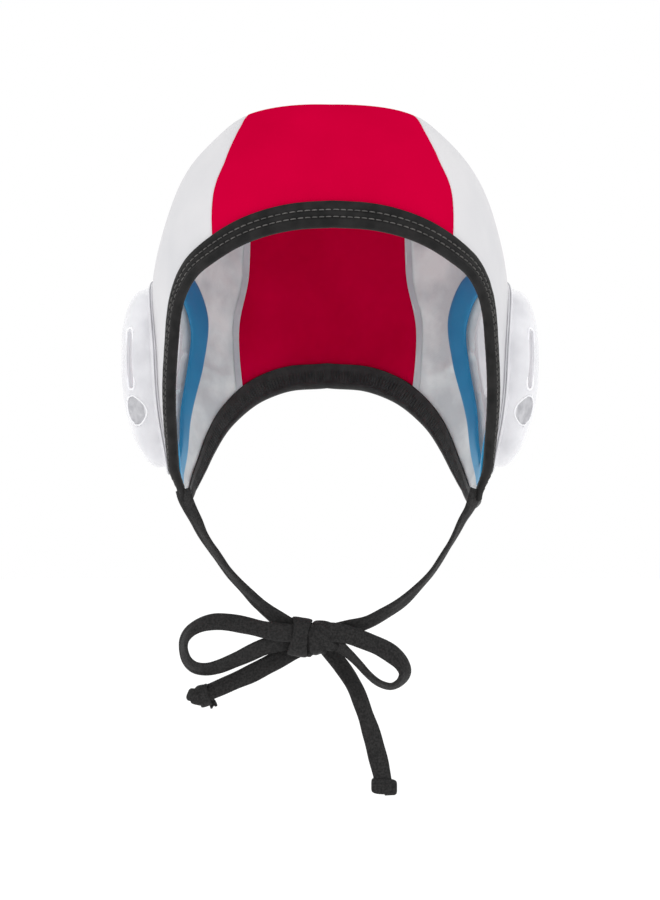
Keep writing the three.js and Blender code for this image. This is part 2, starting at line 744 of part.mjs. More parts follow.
// Height of the guard's outer face over its flange, at a share of the way from the middle to the flange.
function guardRise(share) {
  return GUARD_RISE * (1 - Math.min(1, share) ** GUARD_SQUARENESS) ** (1 / GUARD_SQUARENESS);
}

function guardShell() {
  const shares = spread(0, 1, GUARD_ROWS).map((share) => Math.sin((share * Math.PI) / 2));
  const edge = GUARD_OVERLAP;
  const foot = PIECE_GAP;
  const halfLength = EAR_HOLE_LENGTH / 2 + edge;
  const domeShare = 1 - GUARD_FLANGE / halfLength;
  const wallShare = 1 - GUARD_WALL / halfLength;
  const rings = spread(0, 1, GUARD_STATIONS)
    .slice(0, -1)
    .map((share) => [
      lifted(earPoint(share, edge), foot),
      lifted(earPoint(share, edge), foot + GUARD_WALL),
      ...shares
        .toReversed()
        .map((r) => lifted(earPoint(share, edge, domeShare * r), foot + GUARD_WALL + guardRise(r))),
      ...shares.map((r) => lifted(earPoint(share, edge, domeShare * wallShare * r), foot + guardRise(r))),
    ]);
  return skin(rings, true);
}

// A point on the guard's outer face, given from the middle of the ear.
function guardPoint(back, up) {
  const middle = CROWN_TOP - EAR_DROP;
  const target = sidePoint(EAR_BACK + back, middle + up);
  const rim = earPoint(earShareTowards(target), GUARD_OVERLAP);
  const reach = Math.hypot(rim.y - EAR_BACK, rim.z - middle);
  const domeShare = 1 - GUARD_FLANGE / (EAR_HOLE_LENGTH / 2 + GUARD_OVERLAP);
  const rise = guardRise(Math.hypot(back, up) / reach / domeShare);
  return lifted(target, PIECE_GAP + GUARD_WALL + rise);
}

// Three slots: the middle one is upright, and the outer two splay and lean to the front and back.
function slotCutter(place) {
  const half = GUARD_SLOT_WIDTH / 2;
  const straight = GUARD_SLOT_LENGTH / 2 - half;
  const outline = new THREE.Shape();
  outline.absarc(0, straight, half, 0, Math.PI, false);
  outline.absarc(0, -straight, half, Math.PI, 2 * Math.PI, false);
  const depth = GUARD_RISE;
  const shape = { depth, bevelEnabled: false, curveSegments: SLOT_END_SEGMENTS };
  const prism = new THREE.ExtrudeGeometry(outline, shape);
  const outward = new THREE.Vector3(1, GUARD_SLOT_SPLAY * place, 0).normalize();
  const lean = THREE.MathUtils.degToRad(GUARD_SLOT_LEAN * place);
  const upward = new THREE.Vector3(0, 0, 1).applyAxisAngle(outward, lean);
  const start = guardPoint(place * GUARD_SLOT_SPACING, GUARD_SLOT_UP).addScaledVector(outward, -depth / 2);
  const sideways = upward.clone().cross(outward);
  return prism.applyMatrix4(new THREE.Matrix4().makeBasis(sideways, upward, outward).setPosition(start));
}

// A round flat sunk into the lower flank of the guard.
function dimpleCutter(place) {
  const back = place * GUARD_DIMPLE_SPACING;
  const up = -GUARD_DIMPLE_DROP;
  const centre = guardPoint(back, up);
  const across = guardPoint(back + 1, up).sub(guardPoint(back - 1, up));
  const along = guardPoint(back, up + 1).sub(guardPoint(back, up - 1));
  const outward = across.cross(along).normalize();
  const height = GUARD_RISE / 2;
  const disc = new THREE.CylinderGeometry(GUARD_DIMPLE_RADIUS, GUARD_DIMPLE_RADIUS, height, DIMPLE_SEGMENTS);
  disc.applyQuaternion(new THREE.Quaternion().setFromUnitVectors(new THREE.Vector3(0, 1, 0), outward));
  centre.addScaledVector(outward, height / 2 - GUARD_DIMPLE_DEPTH);
  return disc.translate(centre.x, centre.y, centre.z);
}

function earGuardRight() {
  const slots = [-1, 0, 1].map(slotCutter);
  const dimples = [-1, 1].map(dimpleCutter);
  return cutBy(guardShell(), ...slots, ...dimples);
}

// Tapes: a flat section carried along a route, its width turned out of the front plane where the route says

class TapePath extends THREE.CatmullRomCurve3 {
  constructor(route) {
    super(route.map((p) => new THREE.Vector3(p.x, p.y, p.z)), false, "centripetal");
    this.turns = route.map((p) => THREE.MathUtils.degToRad(p.turn));
  }

  computeFrenetFrames(segments) {
    const frames = { tangents: [], normals: [], binormals: [] };
    for (let i = 0; i <= segments; i += 1) {
      const share = i / segments;
      const tangent = this.getTangentAt(share);
      const place = this.getUtoTmapping(share) * (this.turns.length - 1);
      const low = Math.min(this.turns.length - 2, Math.floor(place));
      const turn = THREE.MathUtils.lerp(this.turns[low], this.turns[low + 1], place - low);
      const flat = new THREE.Vector3(0, 1, 0).cross(tangent).normalize();
      const deep = tangent.clone().cross(flat).normalize();
      const normal = flat.multiplyScalar(Math.cos(turn)).add(deep.multiplyScalar(Math.sin(turn)));
      frames.tangents.push(tangent);
      frames.normals.push(normal);
      frames.binormals.push(tangent.clone().cross(normal).normalize());
    }
    return frames;
  }
}

function tape(route) {
  const wide = TAPE_WIDTH / 2;
  const thick = TAPE_WALL / 2;
  const shoulder = wide - thick;
  const corners = [
    [wide, thick / 2],
    [shoulder, thick],
    [-shoulder, thick],
    [-wide, thick / 2],
    [-wide, -thick / 2],
    [-shoulder, -thick],
    [shoulder, -thick],
    [wide, -thick / 2],
  ];
  const outline = new THREE.Shape(corners.map(([x, y]) => new THREE.Vector2(x, y)));
  const path = new TapePath(route);
  return new THREE.ExtrudeGeometry(outline, { steps: TAPE_STEPS, extrudePath: path, bevelEnabled: false });
}

// A tied lump: round, a little squared, and pinched where the tape wraps it.
function lump(centre, width, thickness, height, grow) {
  const ball = new THREE.SphereGeometry(1, KNOT_SEGMENTS, KNOT_ROWS);
  const place = ball.attributes.position;
  for (let i = 0; i < place.count; i += 1) {
    const p = new THREE.Vector3().fromBufferAttribute(place, i);
    const pinch = 1 - KNOT_PINCH * Math.exp(-((p.x / KNOT_PINCH_REACH) ** 2));
    place.setXYZ(
      i,
      centre.x + p.x * (width / 2 + grow),
      centre.y + p.z * (thickness / 2 + grow),
      centre.z - p.y * (height / 2 + grow) * pinch,
    );
  }
  return facedOut(merged(ball));
}

const bowKnot = (grow) => lump(KNOT_CENTRE, KNOT_WIDTH, KNOT_THICKNESS, KNOT_HEIGHT, grow);
const tailKnot = (grow) =>
  lump(TAIL_KNOT_CENTRE, TAIL_KNOT_LENGTH, TAIL_KNOT_THICKNESS, TAIL_KNOT_HEIGHT, grow);

// The turned-up end of the long tail.
function tailFold(grow) {
  const w = TAIL_FOLD_WIDTH / 2 + grow;
  const h = TAIL_FOLD_HEIGHT / 2 + grow;
  const corner = TAIL_FOLD_CORNER;
  const outline = new THREE.Shape();
  outline.absarc(w - corner, h - corner, corner, 0, Math.PI / 2, false);
  outline.absarc(corner - w, h - corner, corner, Math.PI / 2, Math.PI, false);
  outline.absarc(corner - w, corner - h, corner, Math.PI, 1.5 * Math.PI, false);
  outline.absarc(w - corner, corner - h, corner, 1.5 * Math.PI, 2 * Math.PI, false);
  const depth = TAIL_FOLD_THICKNESS + 2 * grow;
  const shape = { depth, bevelEnabled: false, curveSegments: FOLD_CORNER_SEGMENTS };
  const block = new THREE.ExtrudeGeometry(outline, shape);
  block.translate(0, 0, -depth / 2).rotateX(Math.PI / 2);
  return block.translate(TAIL_FOLD_CENTRE.x, TAIL_FOLD_CENTRE.y, TAIL_FOLD_CENTRE.z);
}

// Assembly

const faceBlock = faceBlockBand();
const knotBlock = bowKnot(PIECE_GAP);
const sidePanel = sidePanelRight();
const earRing = earRingRight();
const earGuard = earGuardRight();
const napeBlock = napeBand(blockSection);
const tie = (route) => cutBy(tape(route), faceBlock, napeBlock, knotBlock);

const CLOTH_RED = { color: 0xc30034, roughness: 0.62, metalness: 0 };
const CLOTH_WHITE = { color: 0xe4e4e8, roughness: 0.6, metalness: 0 };
const TAPE_BLACK = { color: 0x2b2a2b, roughness: 0.75, metalness: 0 };
const SOFT_BLUE = { color: 0x2376a5, roughness: 0.5, metalness: 0 };
const CLEAR_PLASTIC = { color: 0xe2e3e6, roughness: 0.25, metalness: 0, transparent: true, opacity: 0.6 };

const PIECES = [
  ["centre_panel", centrePanel(), CLOTH_RED],
  ["side_panel_left", mirrored(sidePanel), CLOTH_WHITE],
  ["side_panel_right", sidePanel, CLOTH_WHITE],
  ["face_binding", faceBand(bindingSection), TAPE_BLACK],
  ["nape_binding", cutBy(napeBand(bindingSection), faceBlock), TAPE_BLACK],
  ["ear_ring_left", mirrored(earRing), SOFT_BLUE],
  ["ear_ring_right", earRing, SOFT_BLUE],
  ["ear_guard_left", mirrored(earGuard), CLEAR_PLASTIC],
  ["ear_guard_right", earGuard, CLEAR_PLASTIC],
  ["tie_left", tie(TIE_LEFT_ROUTE), TAPE_BLACK],
  ["tie_right", tie(TIE_RIGHT_ROUTE), TAPE_BLACK],
  ["bow_knot", bowKnot(0), TAPE_BLACK],
  ["bow_loop_left", cutBy(tape(LOOP_LEFT_ROUTE), knotBlock), TAPE_BLACK],
  ["bow_loop_right", cutBy(tape(LOOP_RIGHT_ROUTE), knotBlock), TAPE_BLACK],
  ["tail_left", cutBy(tape(TAIL_LEFT_ROUTE), knotBlock, tailKnot(PIECE_GAP)), TAPE_BLACK],
  ["tail_right", cutBy(tape(TAIL_RIGHT_ROUTE), knotBlock, tailFold(PIECE_GAP)), TAPE_BLACK],
  ["tail_knot_left", tailKnot(0), TAPE_BLACK],
  ["tail_fold_right", tailFold(0), TAPE_BLACK],
];

const cap = new THREE.Group();
PIECES.forEach(([name, geometry, look]) => {
  const mesh = new THREE.Mesh(geometry, new THREE.MeshStandardMaterial(look));
  mesh.name = name;
  cap.add(mesh);
});

export default cap;
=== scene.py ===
"""Water polo cap: the looks of its cloth, bindings, ear guards, rings and tapes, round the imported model.

Sizes and tables are in millimetres in the part's frame, and each piece is scaled to metres when it is made.
Left and right are as seen from the front, so left is -X.
"""
import math

import bmesh
import bpy
import numpy as np
from mathutils import Matrix, Vector
from mathutils.bvhtree import BVHTree


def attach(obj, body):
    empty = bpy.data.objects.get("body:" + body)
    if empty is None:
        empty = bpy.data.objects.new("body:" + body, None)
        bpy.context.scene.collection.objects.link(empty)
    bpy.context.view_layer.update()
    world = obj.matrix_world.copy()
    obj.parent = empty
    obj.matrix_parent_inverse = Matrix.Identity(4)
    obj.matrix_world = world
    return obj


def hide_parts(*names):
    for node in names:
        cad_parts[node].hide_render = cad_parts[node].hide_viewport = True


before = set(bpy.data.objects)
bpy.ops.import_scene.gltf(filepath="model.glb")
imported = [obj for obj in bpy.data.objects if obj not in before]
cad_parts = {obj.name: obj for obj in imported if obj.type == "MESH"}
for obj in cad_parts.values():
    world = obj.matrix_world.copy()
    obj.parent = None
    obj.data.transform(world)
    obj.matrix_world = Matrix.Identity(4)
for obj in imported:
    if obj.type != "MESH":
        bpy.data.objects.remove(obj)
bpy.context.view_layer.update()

MM = 0.001

# Cap: outside sizes of the cloth
CAP_HALF_WIDTH = 80
CAP_FRONT_REACH = 95
CAP_BACK_REACH = 94
CAP_DEPTH = 181
CLOTH_WALL = 1.2
FRONT_SQUARENESS = 2.6
BACK_SQUARENESS = 2
CROWN_TOP = CLOTH_WALL
CORE = np.array([0, 0, CROWN_TOP - CAP_DEPTH * 0.53])

# Swell of the cloth over the ears
EAR_SWELL = 3.5
EAR_SWELL_HEIGHT = 90
EAR_SWELL_LENGTH = 84
EAR_SWELL_ABOVE_EAR = 16.5

# Ear hole, and what covers it from outside and inside
EAR_BACK = 9.5
EAR_HOLE_HEIGHT = 77
EAR_HOLE_LENGTH = 62
GUARD_OVERLAP = 7
GUARD_ABOVE_CORNER = 9
GUARD_LIFT = 0.3
GUARD_WALL = 1.8
GUARD_FLANGE = 3
GUARD_RISE = 13
GUARD_SQUARENESS = 2.8
GUARD_SLOT_LENGTH = 28
GUARD_SLOT_WIDTH = 4.2
GUARD_SLOT_SPACING = 29.5
GUARD_SLOT_UP = 8
GUARD_SLOT_SPLAY = 1.3
GUARD_SLOT_LEAN = 7
GUARD_SLOT_CUT = (-9, 12)
GUARD_RIM_RADIUS = 0.5
GUARD_EDGE_RADIUS = 0.32
GUARD_DIMPLE_RADIUS = 7
GUARD_DIMPLE_DEPTH = 0.9
GUARD_DIMPLE_DROP = 14.5
GUARD_DIMPLE_SPACING = 28.5
RING_MARGIN = 3
RING_WIDTH = 10.5
RING_WALL = 2.2
EAR_DROP = CAP_DEPTH - GUARD_ABOVE_CORNER - GUARD_OVERLAP - EAR_HOLE_HEIGHT / 2
EAR_SWELL_DROP = EAR_DROP - EAR_SWELL_ABOVE_EAR

# Bindings folded over the cloth edges; widths in the middle and at the corners
BINDING_LEAF = 0.8
BINDING_SLACK = 0.6
FACE_BINDING_WIDTHS = (12, 9)
NAPE_BINDING_WIDTHS = (12.5, 8)
LEAF_OUT = BINDING_SLACK + BINDING_LEAF
LEAF_IN = -(CLOTH_WALL + BINDING_SLACK + BINDING_LEAF)
CLOTH_INSET = BINDING_LEAF + BINDING_SLACK
RING_FACE = LEAF_IN - 0.3

# Where the bindings narrow, and where the nape's one ends: shares of the way from the middle to the corner
FACE_NARROWING = (0, 0.5)
NAPE_NARROWING = (0.15, 0.75)
NAPE_BAND_END = 0.985

# Stitches of the face binding, and ribs and border lines of the nape binding. Lines and band are shares of
# a width.
STITCH_LENGTH = 2.2
STITCH_PITCH = 3.0
STITCH_RADIUS = 0.3
STITCH_LINES = (0.383, 0.65)
FACE_PLUMPNESS = (0.42, 0.3, 0.22)
FURROW_DEPTH = 0.32
FURROW_WIDTH = 0.45
RIB_PITCH = 1.5
RIB_HEIGHT = 0.36
RIB_BAND = (0.27, 0.72)
NAPE_PLUMPNESS = 0.3
BORDER_DEPTH = 0.25
BORDER_WIDTH = 0.03

# Places across a binding: shares of its width on a leaf, then millimetres from the cloth's edge round the
# fold, and the levels there from the outer leaf to the inner one
LEAF_STOPS = np.array([
    1, 0.985, 0.93, 0.85, 0.76, 0.69, 0.65, 0.61, 0.53, 0.46, 0.415, 0.383, 0.35, 0.27, 0.2,
])
FOLD_STOPS = np.array([1.15, 0.62, 0.22, 0.02, -0.05, 0.02, 0.22, 0.62, 1.15])
FOLD_LEVELS = np.array([0.03, 0.11, 0.23, 0.36, 0.5, 0.64, 0.77, 0.89, 0.97])

# The lower corners, drawn in towards the ties over a span below a depth and most on the outside
CORNER_DRAW = 3.8
CORNER_DRAW_FROM = 167
CORNER_DRAW_BESIDE = 64
CORNER_DRAW_WIDTH = 8
CORNER_DRAW_SPAN = 15

# Seams, and the strip of seam allowance inside: places across it and depths under the cloth
SEAM_GAP = 0.12
SEAM_DIP = 0.45
SEAM_DIP_WIDTH = 0.8
SEAM_TAPE_ACROSS = np.array([-0.5, -0.4, 0.2, 2.9, 3.2, 3.1, 0.2, -0.45])
SEAM_TAPE_DEPTH = np.array([0.45, 0.95, 0.7, 0.7, 0.6, 0.45, 0.45, 0.45])

# Cloth
CENTRE_PANEL_HALF = 52
CENTRE_PANEL_LENGTH = 330
# Height and size of its unevenness: puckers at the seams, slack, and folds inside
PUCKERS = (0.1, 7)
CENTRE_SLACK = (0.22, 46)
SIDE_SLACK = (0.2, 40)
SIDE_FOLDS = (0.5, 17)
HEM_GATHER = 0.16
CREASES = (
    # depth below the crown, height, length and start of its waver, how deep, how wide
    (118, 5, 9, 0, 1.1, 1.7),
    (128, 3, 6, 1, 0.7, 1.4),
)

# Tapes, knot and ends
TAPE_WIDTH = 8.6
TAPE_WALL = 1.9
TAPE_STEP = 0.7
KNOT_CENTRE = (-6.3, -28, -246)
KNOT_SIZE = (24, 10, 16)
KNOT_NUB_CENTRE = (-10.2, -28.5, -253.2)
KNOT_NUB_SIZE = (4.2, 4, 3.6)
# A turn of tape round a knot: middle, half depth, half height, tilt in degrees, width and wall
KNOT_WRAP = ((-14.4, -28, -245.8), 5.2, 8.3, -9, 8.2, 1.7)
TAIL_KNOT_WRAP = ((-58.3, -26, -272.9), 3.3, 4.6, 14, 4.6, 1.4)
TAIL_KNOT_CENTRE = (-59.9, -26, -272.9)
TAIL_KNOT_SIZE = (13, 7, 9)
FRAYED_THREADS = 9
FRAYED_RADIUS = 0.5
TAIL_FOLD_SLANT = 0.14
TAIL_FOLD_CENTRE = (24.6, -25, -315)
TAIL_FOLD_SIZE = (12, 4.4, 7.5)

# Level sections of the cap: down is a share of CAP_DEPTH from the crown, wide of CAP_HALF_WIDTH,
# fore of CAP_FRONT_REACH and back of CAP_BACK_REACH.
CAP_SECTIONS = np.array([
    # down, wide, fore, back
    (0.0, 0.0, 0.0, 0.0),
    (0.033, 0.5, 0.5, 0.52),
    (0.086, 0.662, 0.68, 0.69),
    (0.166, 0.82, 0.845, 0.86),
    (0.243, 0.912, 0.94, 0.95),
    (0.331, 0.968, 0.985, 0.99),
    (0.442, 0.995, 1.0, 1.0),
    (0.552, 1.0, 1.0, 1.0),
    (0.696, 0.995, 0.98, 0.965),
    (0.801, 0.975, 0.95, 0.925),
    (0.912, 0.94, 0.9, 0.88),
    (1.05, 0.9, 0.86, 0.84),
])

# Edge of the face opening, from the middle of the forehead to the lower corner: shares across of
# CAP_HALF_WIDTH, along of the front reach and down of CAP_DEPTH.
FACE_EDGE = [
    (0.0, 0.98, 0.355),
    (0.22, 0.975, 0.361),
    (0.45, 0.941, 0.385),
    (0.656, 0.853, 0.43),
    (0.77, 0.76, 0.467),
    (0.835, 0.682, 0.514),
    (0.873, 0.634, 0.562),
    (0.891, 0.593, 0.637),
    (0.893, 0.5, 0.762),
    (0.886, 0.421, 0.864),
    (0.874, 0.324, 0.94),
    (0.855, 0.263, 1.0),
]

# Edge at the nape, from the middle to the same corner, with along a share of the back reach.
NAPE_EDGE = [
    (0.0, 0.96, 0.719),
    (0.222, 0.933, 0.727),
    (0.381, 0.868, 0.75),
    (0.487, 0.803, 0.779),
    (0.612, 0.69, 0.833),
    (0.691, 0.583, 0.89),
    (0.745, 0.479, 0.942),
    (0.79, 0.34, 0.985),
    (0.826, 0.16, 1.006),
    (0.85, -0.08, 1.006),
    (0.855, -0.266, 1.0),
]

# Seam between the centre and side panels, from forehead to nape, with along a share of the mean reach.
SEAM_LINE = [
    (0.725, 0.826, 0.352),
    (0.69, 0.8, 0.237),
    (0.612, 0.71, 0.166),
    (0.5, 0.4, 0.06),
    (0.469, 0.0, 0.03),
    (0.47, -0.45, 0.075),
    (0.49, -0.75, 0.2),
    (0.519, -0.87, 0.4),
    (0.581, -0.83, 0.56),
    (0.612, -0.74, 0.72),
]

# Outline of the ear hole from the side: shares back and up of its half length and half height.
EAR_OUTLINE = [
    (0.1, 1.0),
    (0.88, 0.94),
    (1.12, 0.6),
    (1.04, 0.16),
    (0.82, -0.22),
    (0.5, -0.6),
    (0.1, -0.88),
    (-0.38, -1.0),
    (-0.8, -0.76),
    (-0.98, -0.28),
    (-1.0, 0.25),
    (-0.68, 0.8),
]

# Routes of the tapes, as in the part: x, y, z and the turn of the width out of the front plane in degrees.
TAPE_ROUTES = {
    "tie_left": [
        (-68.4, -26, -178, 42), (-67.2, -26, -182, 42), (-64.9, -25.5, -187.4, 44),
        (-62.2, -25, -192.8, 52), (-59.4, -25, -198.4, 60), (-56, -25, -203.9, 66),
        (-52.2, -25, -209.4, 67), (-48.2, -25, -214.9, 67), (-43.6, -25, -220.4, 64),
        (-38.2, -25, -226, 58), (-32.4, -25, -231.5, 52), (-25.6, -24.9, -237, 38),
        (-18.2, -25.4, -241.4, 18), (-10, -26.2, -244.2, 8),
    ],
    "tie_right": [
        (67.6, -26, -178, -46), (66.2, -26, -182, -50), (64, -25.5, -187.4, -60), (60.8, -25, -192.8, -68),
        (57.8, -25, -198.4, -74), (54.8, -25, -203.9, -78), (51.4, -25, -209.4, -78),
        (47.7, -25, -214.9, -76), (43.3, -25, -220.4, -72), (37.8, -25, -226, -64),
        (31.4, -24.6, -231.3, -56), (24.4, -24, -235.8, -50), (17.2, -24, -239.4, -44),
        (8, -25, -242.2, -34), (2, -26.6, -243.6, -24),
    ],
    "bow_loop_left": [
        (-9, -30, -244.2, 16), (-16, -31.2, -243.9, 18), (-24.8, -32.3, -243, 22), (-31, -32.3, -242, 26),
        (-37.4, -32, -240.4, 28), (-45.5, -31.4, -238.8, 32), (-53.9, -30.8, -238.5, 38),
        (-60.2, -30.3, -239.9, 46), (-64.8, -29.9, -242.7, 56), (-67.4, -29.5, -246.4, 64),
        (-68, -29.2, -250.6, 66), (-66.6, -29, -256.4, 60), (-63.2, -29, -259.7, 54),
        (-57.9, -28.8, -260.7, 48), (-51, -28.6, -259.5, 42), (-43.6, -28.3, -256.4, 36),
        (-37, -28.1, -253.3, 32), (-30.8, -28, -250.6, 28), (-23.4, -27.9, -248.6, 24),
        (-16.5, -27.6, -247.4, 20), (-9, -27.2, -246.8, 16),
    ],
    "bow_loop_right": [
        (-3, -30, -243.4, -6), (3, -31.4, -243.6, -8), (9.2, -32, -245, -8), (17, -32, -247.8, -10),
        (23.4, -31.6, -250.6, -14), (28.6, -31.2, -253.8, -24), (32.6, -30.7, -257.8, -38),
        (34.2, -30.2, -262.2, -52), (32.3, -29.8, -266.4, -64), (28, -29.5, -268.8, -70),
        (22.6, -29.3, -267.4, -72), (16.6, -29.2, -262.8, -72), (11.4, -29.4, -257.2, -70),
        (7.2, -29.2, -252.9, -62), (2.8, -27.9, -249.4, -44),
    ],
    "tail_left": [
        (-8, -24.2, -247.8, 14), (-13, -23.2, -250.4, 18), (-21, -23.2, -254.6, 20),
        (-28.5, -23.9, -258.6, 22), (-36.4, -24.8, -262.6, 24), (-43.3, -25.3, -265.7, 27),
        (-50.2, -25.8, -268.7, 31), (-55.7, -26, -270.9, 35), (-59.5, -26, -272.4, 36),
    ],
    "tail_right": [
        (-3, -25, -248.6, -8), (-0.6, -23.2, -252, -14), (1.6, -22.4, -255, -22), (4.4, -22.2, -258.6, -32),
        (7.2, -22.6, -262.4, -38), (9.9, -23.2, -266.8, -40), (12.3, -24.3, -271.4, -36),
        (14.4, -24.8, -276.8, -32), (16.2, -25, -282.2, -28), (18, -25, -287.8, -20),
        (19.7, -25, -293.5, -12), (21.2, -25, -299.5, -8), (22.7, -25, -305.5, -10), (24, -25, -311.5, -12),
        (24.4, -25, -314.5, -12),
    ],
}

# Camera and light
CAMERA_PLACE = (-0.02, -1.3, -0.1598)
CAMERA_AIM = (0, 0, -0.1598)
CAMERA_FOCAL = 110.6
FLOOR_LEVEL = -0.5
FLOOR_RADIUS = 6
WORLD_LIGHT = 1.0
LIGHT_AIM = (0, 0, -0.1)
LIGHTS = (
    # name, place, size, power
    ("key_light", (-0.7, -1.5, 1.1), 1.2, 1.6),
    ("fill_light", (1.2, -1.0, 0.3), 1.2, 0.5),
)

# Faces that meet at a sharper angle keep a crisp edge, in degrees
SHARP_ANGLE = 50

# Depth below the crown over which a material's low colour comes in; on the blue ring that lighter low colour
# is painted light
LOW_COLOR_SPAN = (145, 172)


# Scene: camera, light and floor

scene = bpy.context.scene


def added(name, data):
    made = bpy.data.objects.new(name, data)
    scene.collection.objects.link(made)
    return made


def aimed(name, data, place, aim):
    """A camera or light at a place that looks at another."""
    made = added(name, data)
    made.location = place
    made.rotation_euler = (Vector(aim) - Vector(place)).to_track_quat("-Z", "Y").to_euler()
    return made


def make_camera():
    data = bpy.data.cameras.new("camera")
    data.sensor_fit = "VERTICAL"
    data.sensor_height = 36
    data.lens = CAMERA_FOCAL
    scene.camera = aimed("camera", data, CAMERA_PLACE, CAMERA_AIM)


def make_lights():
    world = bpy.data.worlds.new("studio")
    world.use_nodes = True
    world.node_tree.nodes["Background"].inputs["Color"].default_value = (1, 1, 1, 1)
    world.node_tree.nodes["Background"].inputs["Strength"].default_value = WORLD_LIGHT
    scene.world = world
    for name, place, size, power in LIGHTS:
        data = bpy.data.lights.new(name, "AREA")
        data.size = size
        data.energy = power
        aimed(name, data, place, LIGHT_AIM)


def make_floor():
    mesh = bpy.data.meshes.new("floor")
    shape = bmesh.new()
    bmesh.ops.create_circle(shape, cap_ends=True, segments=64, radius=FLOOR_RADIUS)
    shape.to_mesh(mesh)
    shape.free()
    floor = added("floor", mesh)
    floor.location = (0, 0, FLOOR_LEVEL)
    paint = surface("floor_paint", (252, 252, 252), (255, 255, 255), 3, (0.9, 0.95), glow=0.12)
    mesh.materials.append(paint)


# Materials

LOOKS = {}


def linear(color):
    """An sRGB colour of 0 to 255 as the linear colour that shaders use."""
    shares = [c / 255 for c in color]
    return [s / 12.92 if s <= 0.04045 else ((s + 0.055) / 1.055) ** 2.4 for s in shares] + [1]


def surface(
    name, color, drift, drift_scale, roughness,
    weave=None, grain=None, glow=0.0, alpha=None, low=None, **shader,
):
    """A material that drifts between two colours, and to a low colour towards the cap's lower edge. weave is
    the pitch along and across and the depth of a woven relief, and grain the size and depth of an uneven one,
    in millimetres. roughness and alpha are ranges that follow the drift, and shader names other inputs."""
    made = bpy.data.materials.new(name)
    made.use_nodes = True
    tree = made.node_tree
    body = tree.nodes["Principled BSDF"]

    def fill(item, values):
        for socket, value in values.items():
            item.inputs[socket.replace("_", " ").title().replace("Ior", "IOR")].default_value = value
        return item

    def node(kind, **values):
        return fill(tree.nodes.new("ShaderNode" + kind), values)

    def wire(source, output, item, socket):
        tree.links.new(source.outputs[output], item.inputs[socket])

    place = node("TexCoord")
    cloud = node("TexNoise", scale=drift_scale, detail=4)
    wire(place, "Object", cloud, "Vector")
    ramp = node("ValToRGB")
    for stop, position, shade in zip(ramp.color_ramp.elements, (0.36, 0.64), (color, drift)):
        stop.position = position
        stop.color = linear(shade)
    wire(cloud, "Fac", ramp, "Fac")
    wire(ramp, "Color", body, "Base Color")
    # Painted light: the low colour makes the lower part lighter, where more light reaches it
    if low:
        parts = node("SeparateXYZ")
        wire(place, "Object", parts, "Vector")
        depth = node("MapRange", from_min=-LOW_COLOR_SPAN[0] * MM, from_max=-LOW_COLOR_SPAN[1] * MM)
        wire(parts, "Z", depth, "Value")
        blend = node("Mix")
        blend.data_type = "RGBA"
        blend.inputs["B"].default_value = linear(low)
        wire(depth, "Result", blend, "Factor")
        wire(ramp, "Color", blend, "A")
        wire(blend, "Result", body, "Base Color")
    for socket, span in (("Roughness", roughness), ("Alpha", alpha)):
        if span:
            among = node("MapRange", to_min=span[0], to_max=span[1])
            wire(cloud, "Fac", among, "Value")
            wire(among, "Result", body, socket)

    relief = None
    if weave:
        both = node("Math")
        both.operation = "MULTIPLY"
        for k, direction in enumerate("XY"):
            wave = node("TexWave", scale=2 * math.pi / (20 * weave[k] * MM), distortion=0.6)
            wave.bands_direction = direction
            wire(place, "UV", wave, "Vector")
            wire(wave, "Fac", both, k)
        relief = node("Bump", strength=0.6, distance=weave[2] * MM)
        wire(both, "Value", relief, "Height")
    if grain:
        rough = node("TexNoise", scale=1 / (grain[0] * MM), detail=3)
        wire(place, "Object", rough, "Vector")
        uneven = node("Bump", strength=0.7, distance=grain[1] * MM)
        wire(rough, "Fac", uneven, "Height")
        if relief:
            wire(relief, "Normal", uneven, "Normal")
        relief = uneven
    if relief:
        wire(relief, "Normal", body, "Normal")
    # glow is a white emission: on the cloth inside and on the guards it is painted light, and on the floor it
    # keeps the floor evenly bright
    if glow:
        fill(body, {"emission_color": (1, 1, 1, 1), "emission_strength": glow})
    fill(body, shader)
    LOOKS[name] = made
    return made


surface(
    "red_cloth", (204, 0, 56), (195, 0, 52), 18, (0.5, 0.62), weave=(0.55, 0.7, 0.05), grain=(9, 0.12),
    specular_ior_level=0.0, sheen_weight=0.06, sheen_roughness=0.4, sheen_tint=(0.8, 0.0, 0.06, 1),
)
surface(
    "red_cloth_inside", (208, 0, 60), (192, 0, 52), 22, (0.62, 0.75), weave=(0.55, 0.7, 0.06),
    grain=(12, 0.2), specular_ior_level=0.0, sheen_weight=0.06, sheen_roughness=0.5,
    sheen_tint=(0.8, 0.0, 0.06, 1),
)
surface(
    "white_cloth", (224, 223, 225), (214, 214, 217), 16, (0.5, 0.6), weave=(0.55, 0.7, 0.05), grain=(9, 0.12),
    specular_ior_level=0.15, sheen_weight=0.04, sheen_roughness=0.4,
)
# Painted light: the glow stands for light that comes through the thin white cloth from outside
surface(
    "white_cloth_inside", (226, 234, 234), (192, 200, 203), 46, (0.6, 0.72), weave=(0.55, 0.7, 0.06),
    grain=(8, 0.5), glow=0.07, specular_ior_level=0.1, sheen_weight=0.04, sheen_roughness=0.5,
)
surface(
    "seam_tape", (206, 212, 216), (190, 196, 202), 60, (0.6, 0.75), weave=(0.5, 0.5, 0.08), grain=(2, 0.1),
    specular_ior_level=0.1,
)
surface(
    "black_binding", (26, 26, 26), (40, 39, 39), 150, (0.5, 0.66), weave=(0.5, 0.5, 0.12), grain=(1.6, 0.18),
    specular_ior_level=0.12, sheen_weight=0.03, sheen_roughness=0.45,
)
surface(
    "black_elastic", (36, 36, 36), (50, 50, 50), 220, (0.5, 0.62), weave=(0.45, 0.6, 0.12), grain=(1.2, 0.15),
    specular_ior_level=0.3, sheen_weight=0.02, sheen_roughness=0.5,
)
surface(
    "binding_thread", (80, 79, 78), (104, 102, 100), 300, (0.45, 0.6), grain=(0.3, 0.05),
    specular_ior_level=0.2,
)
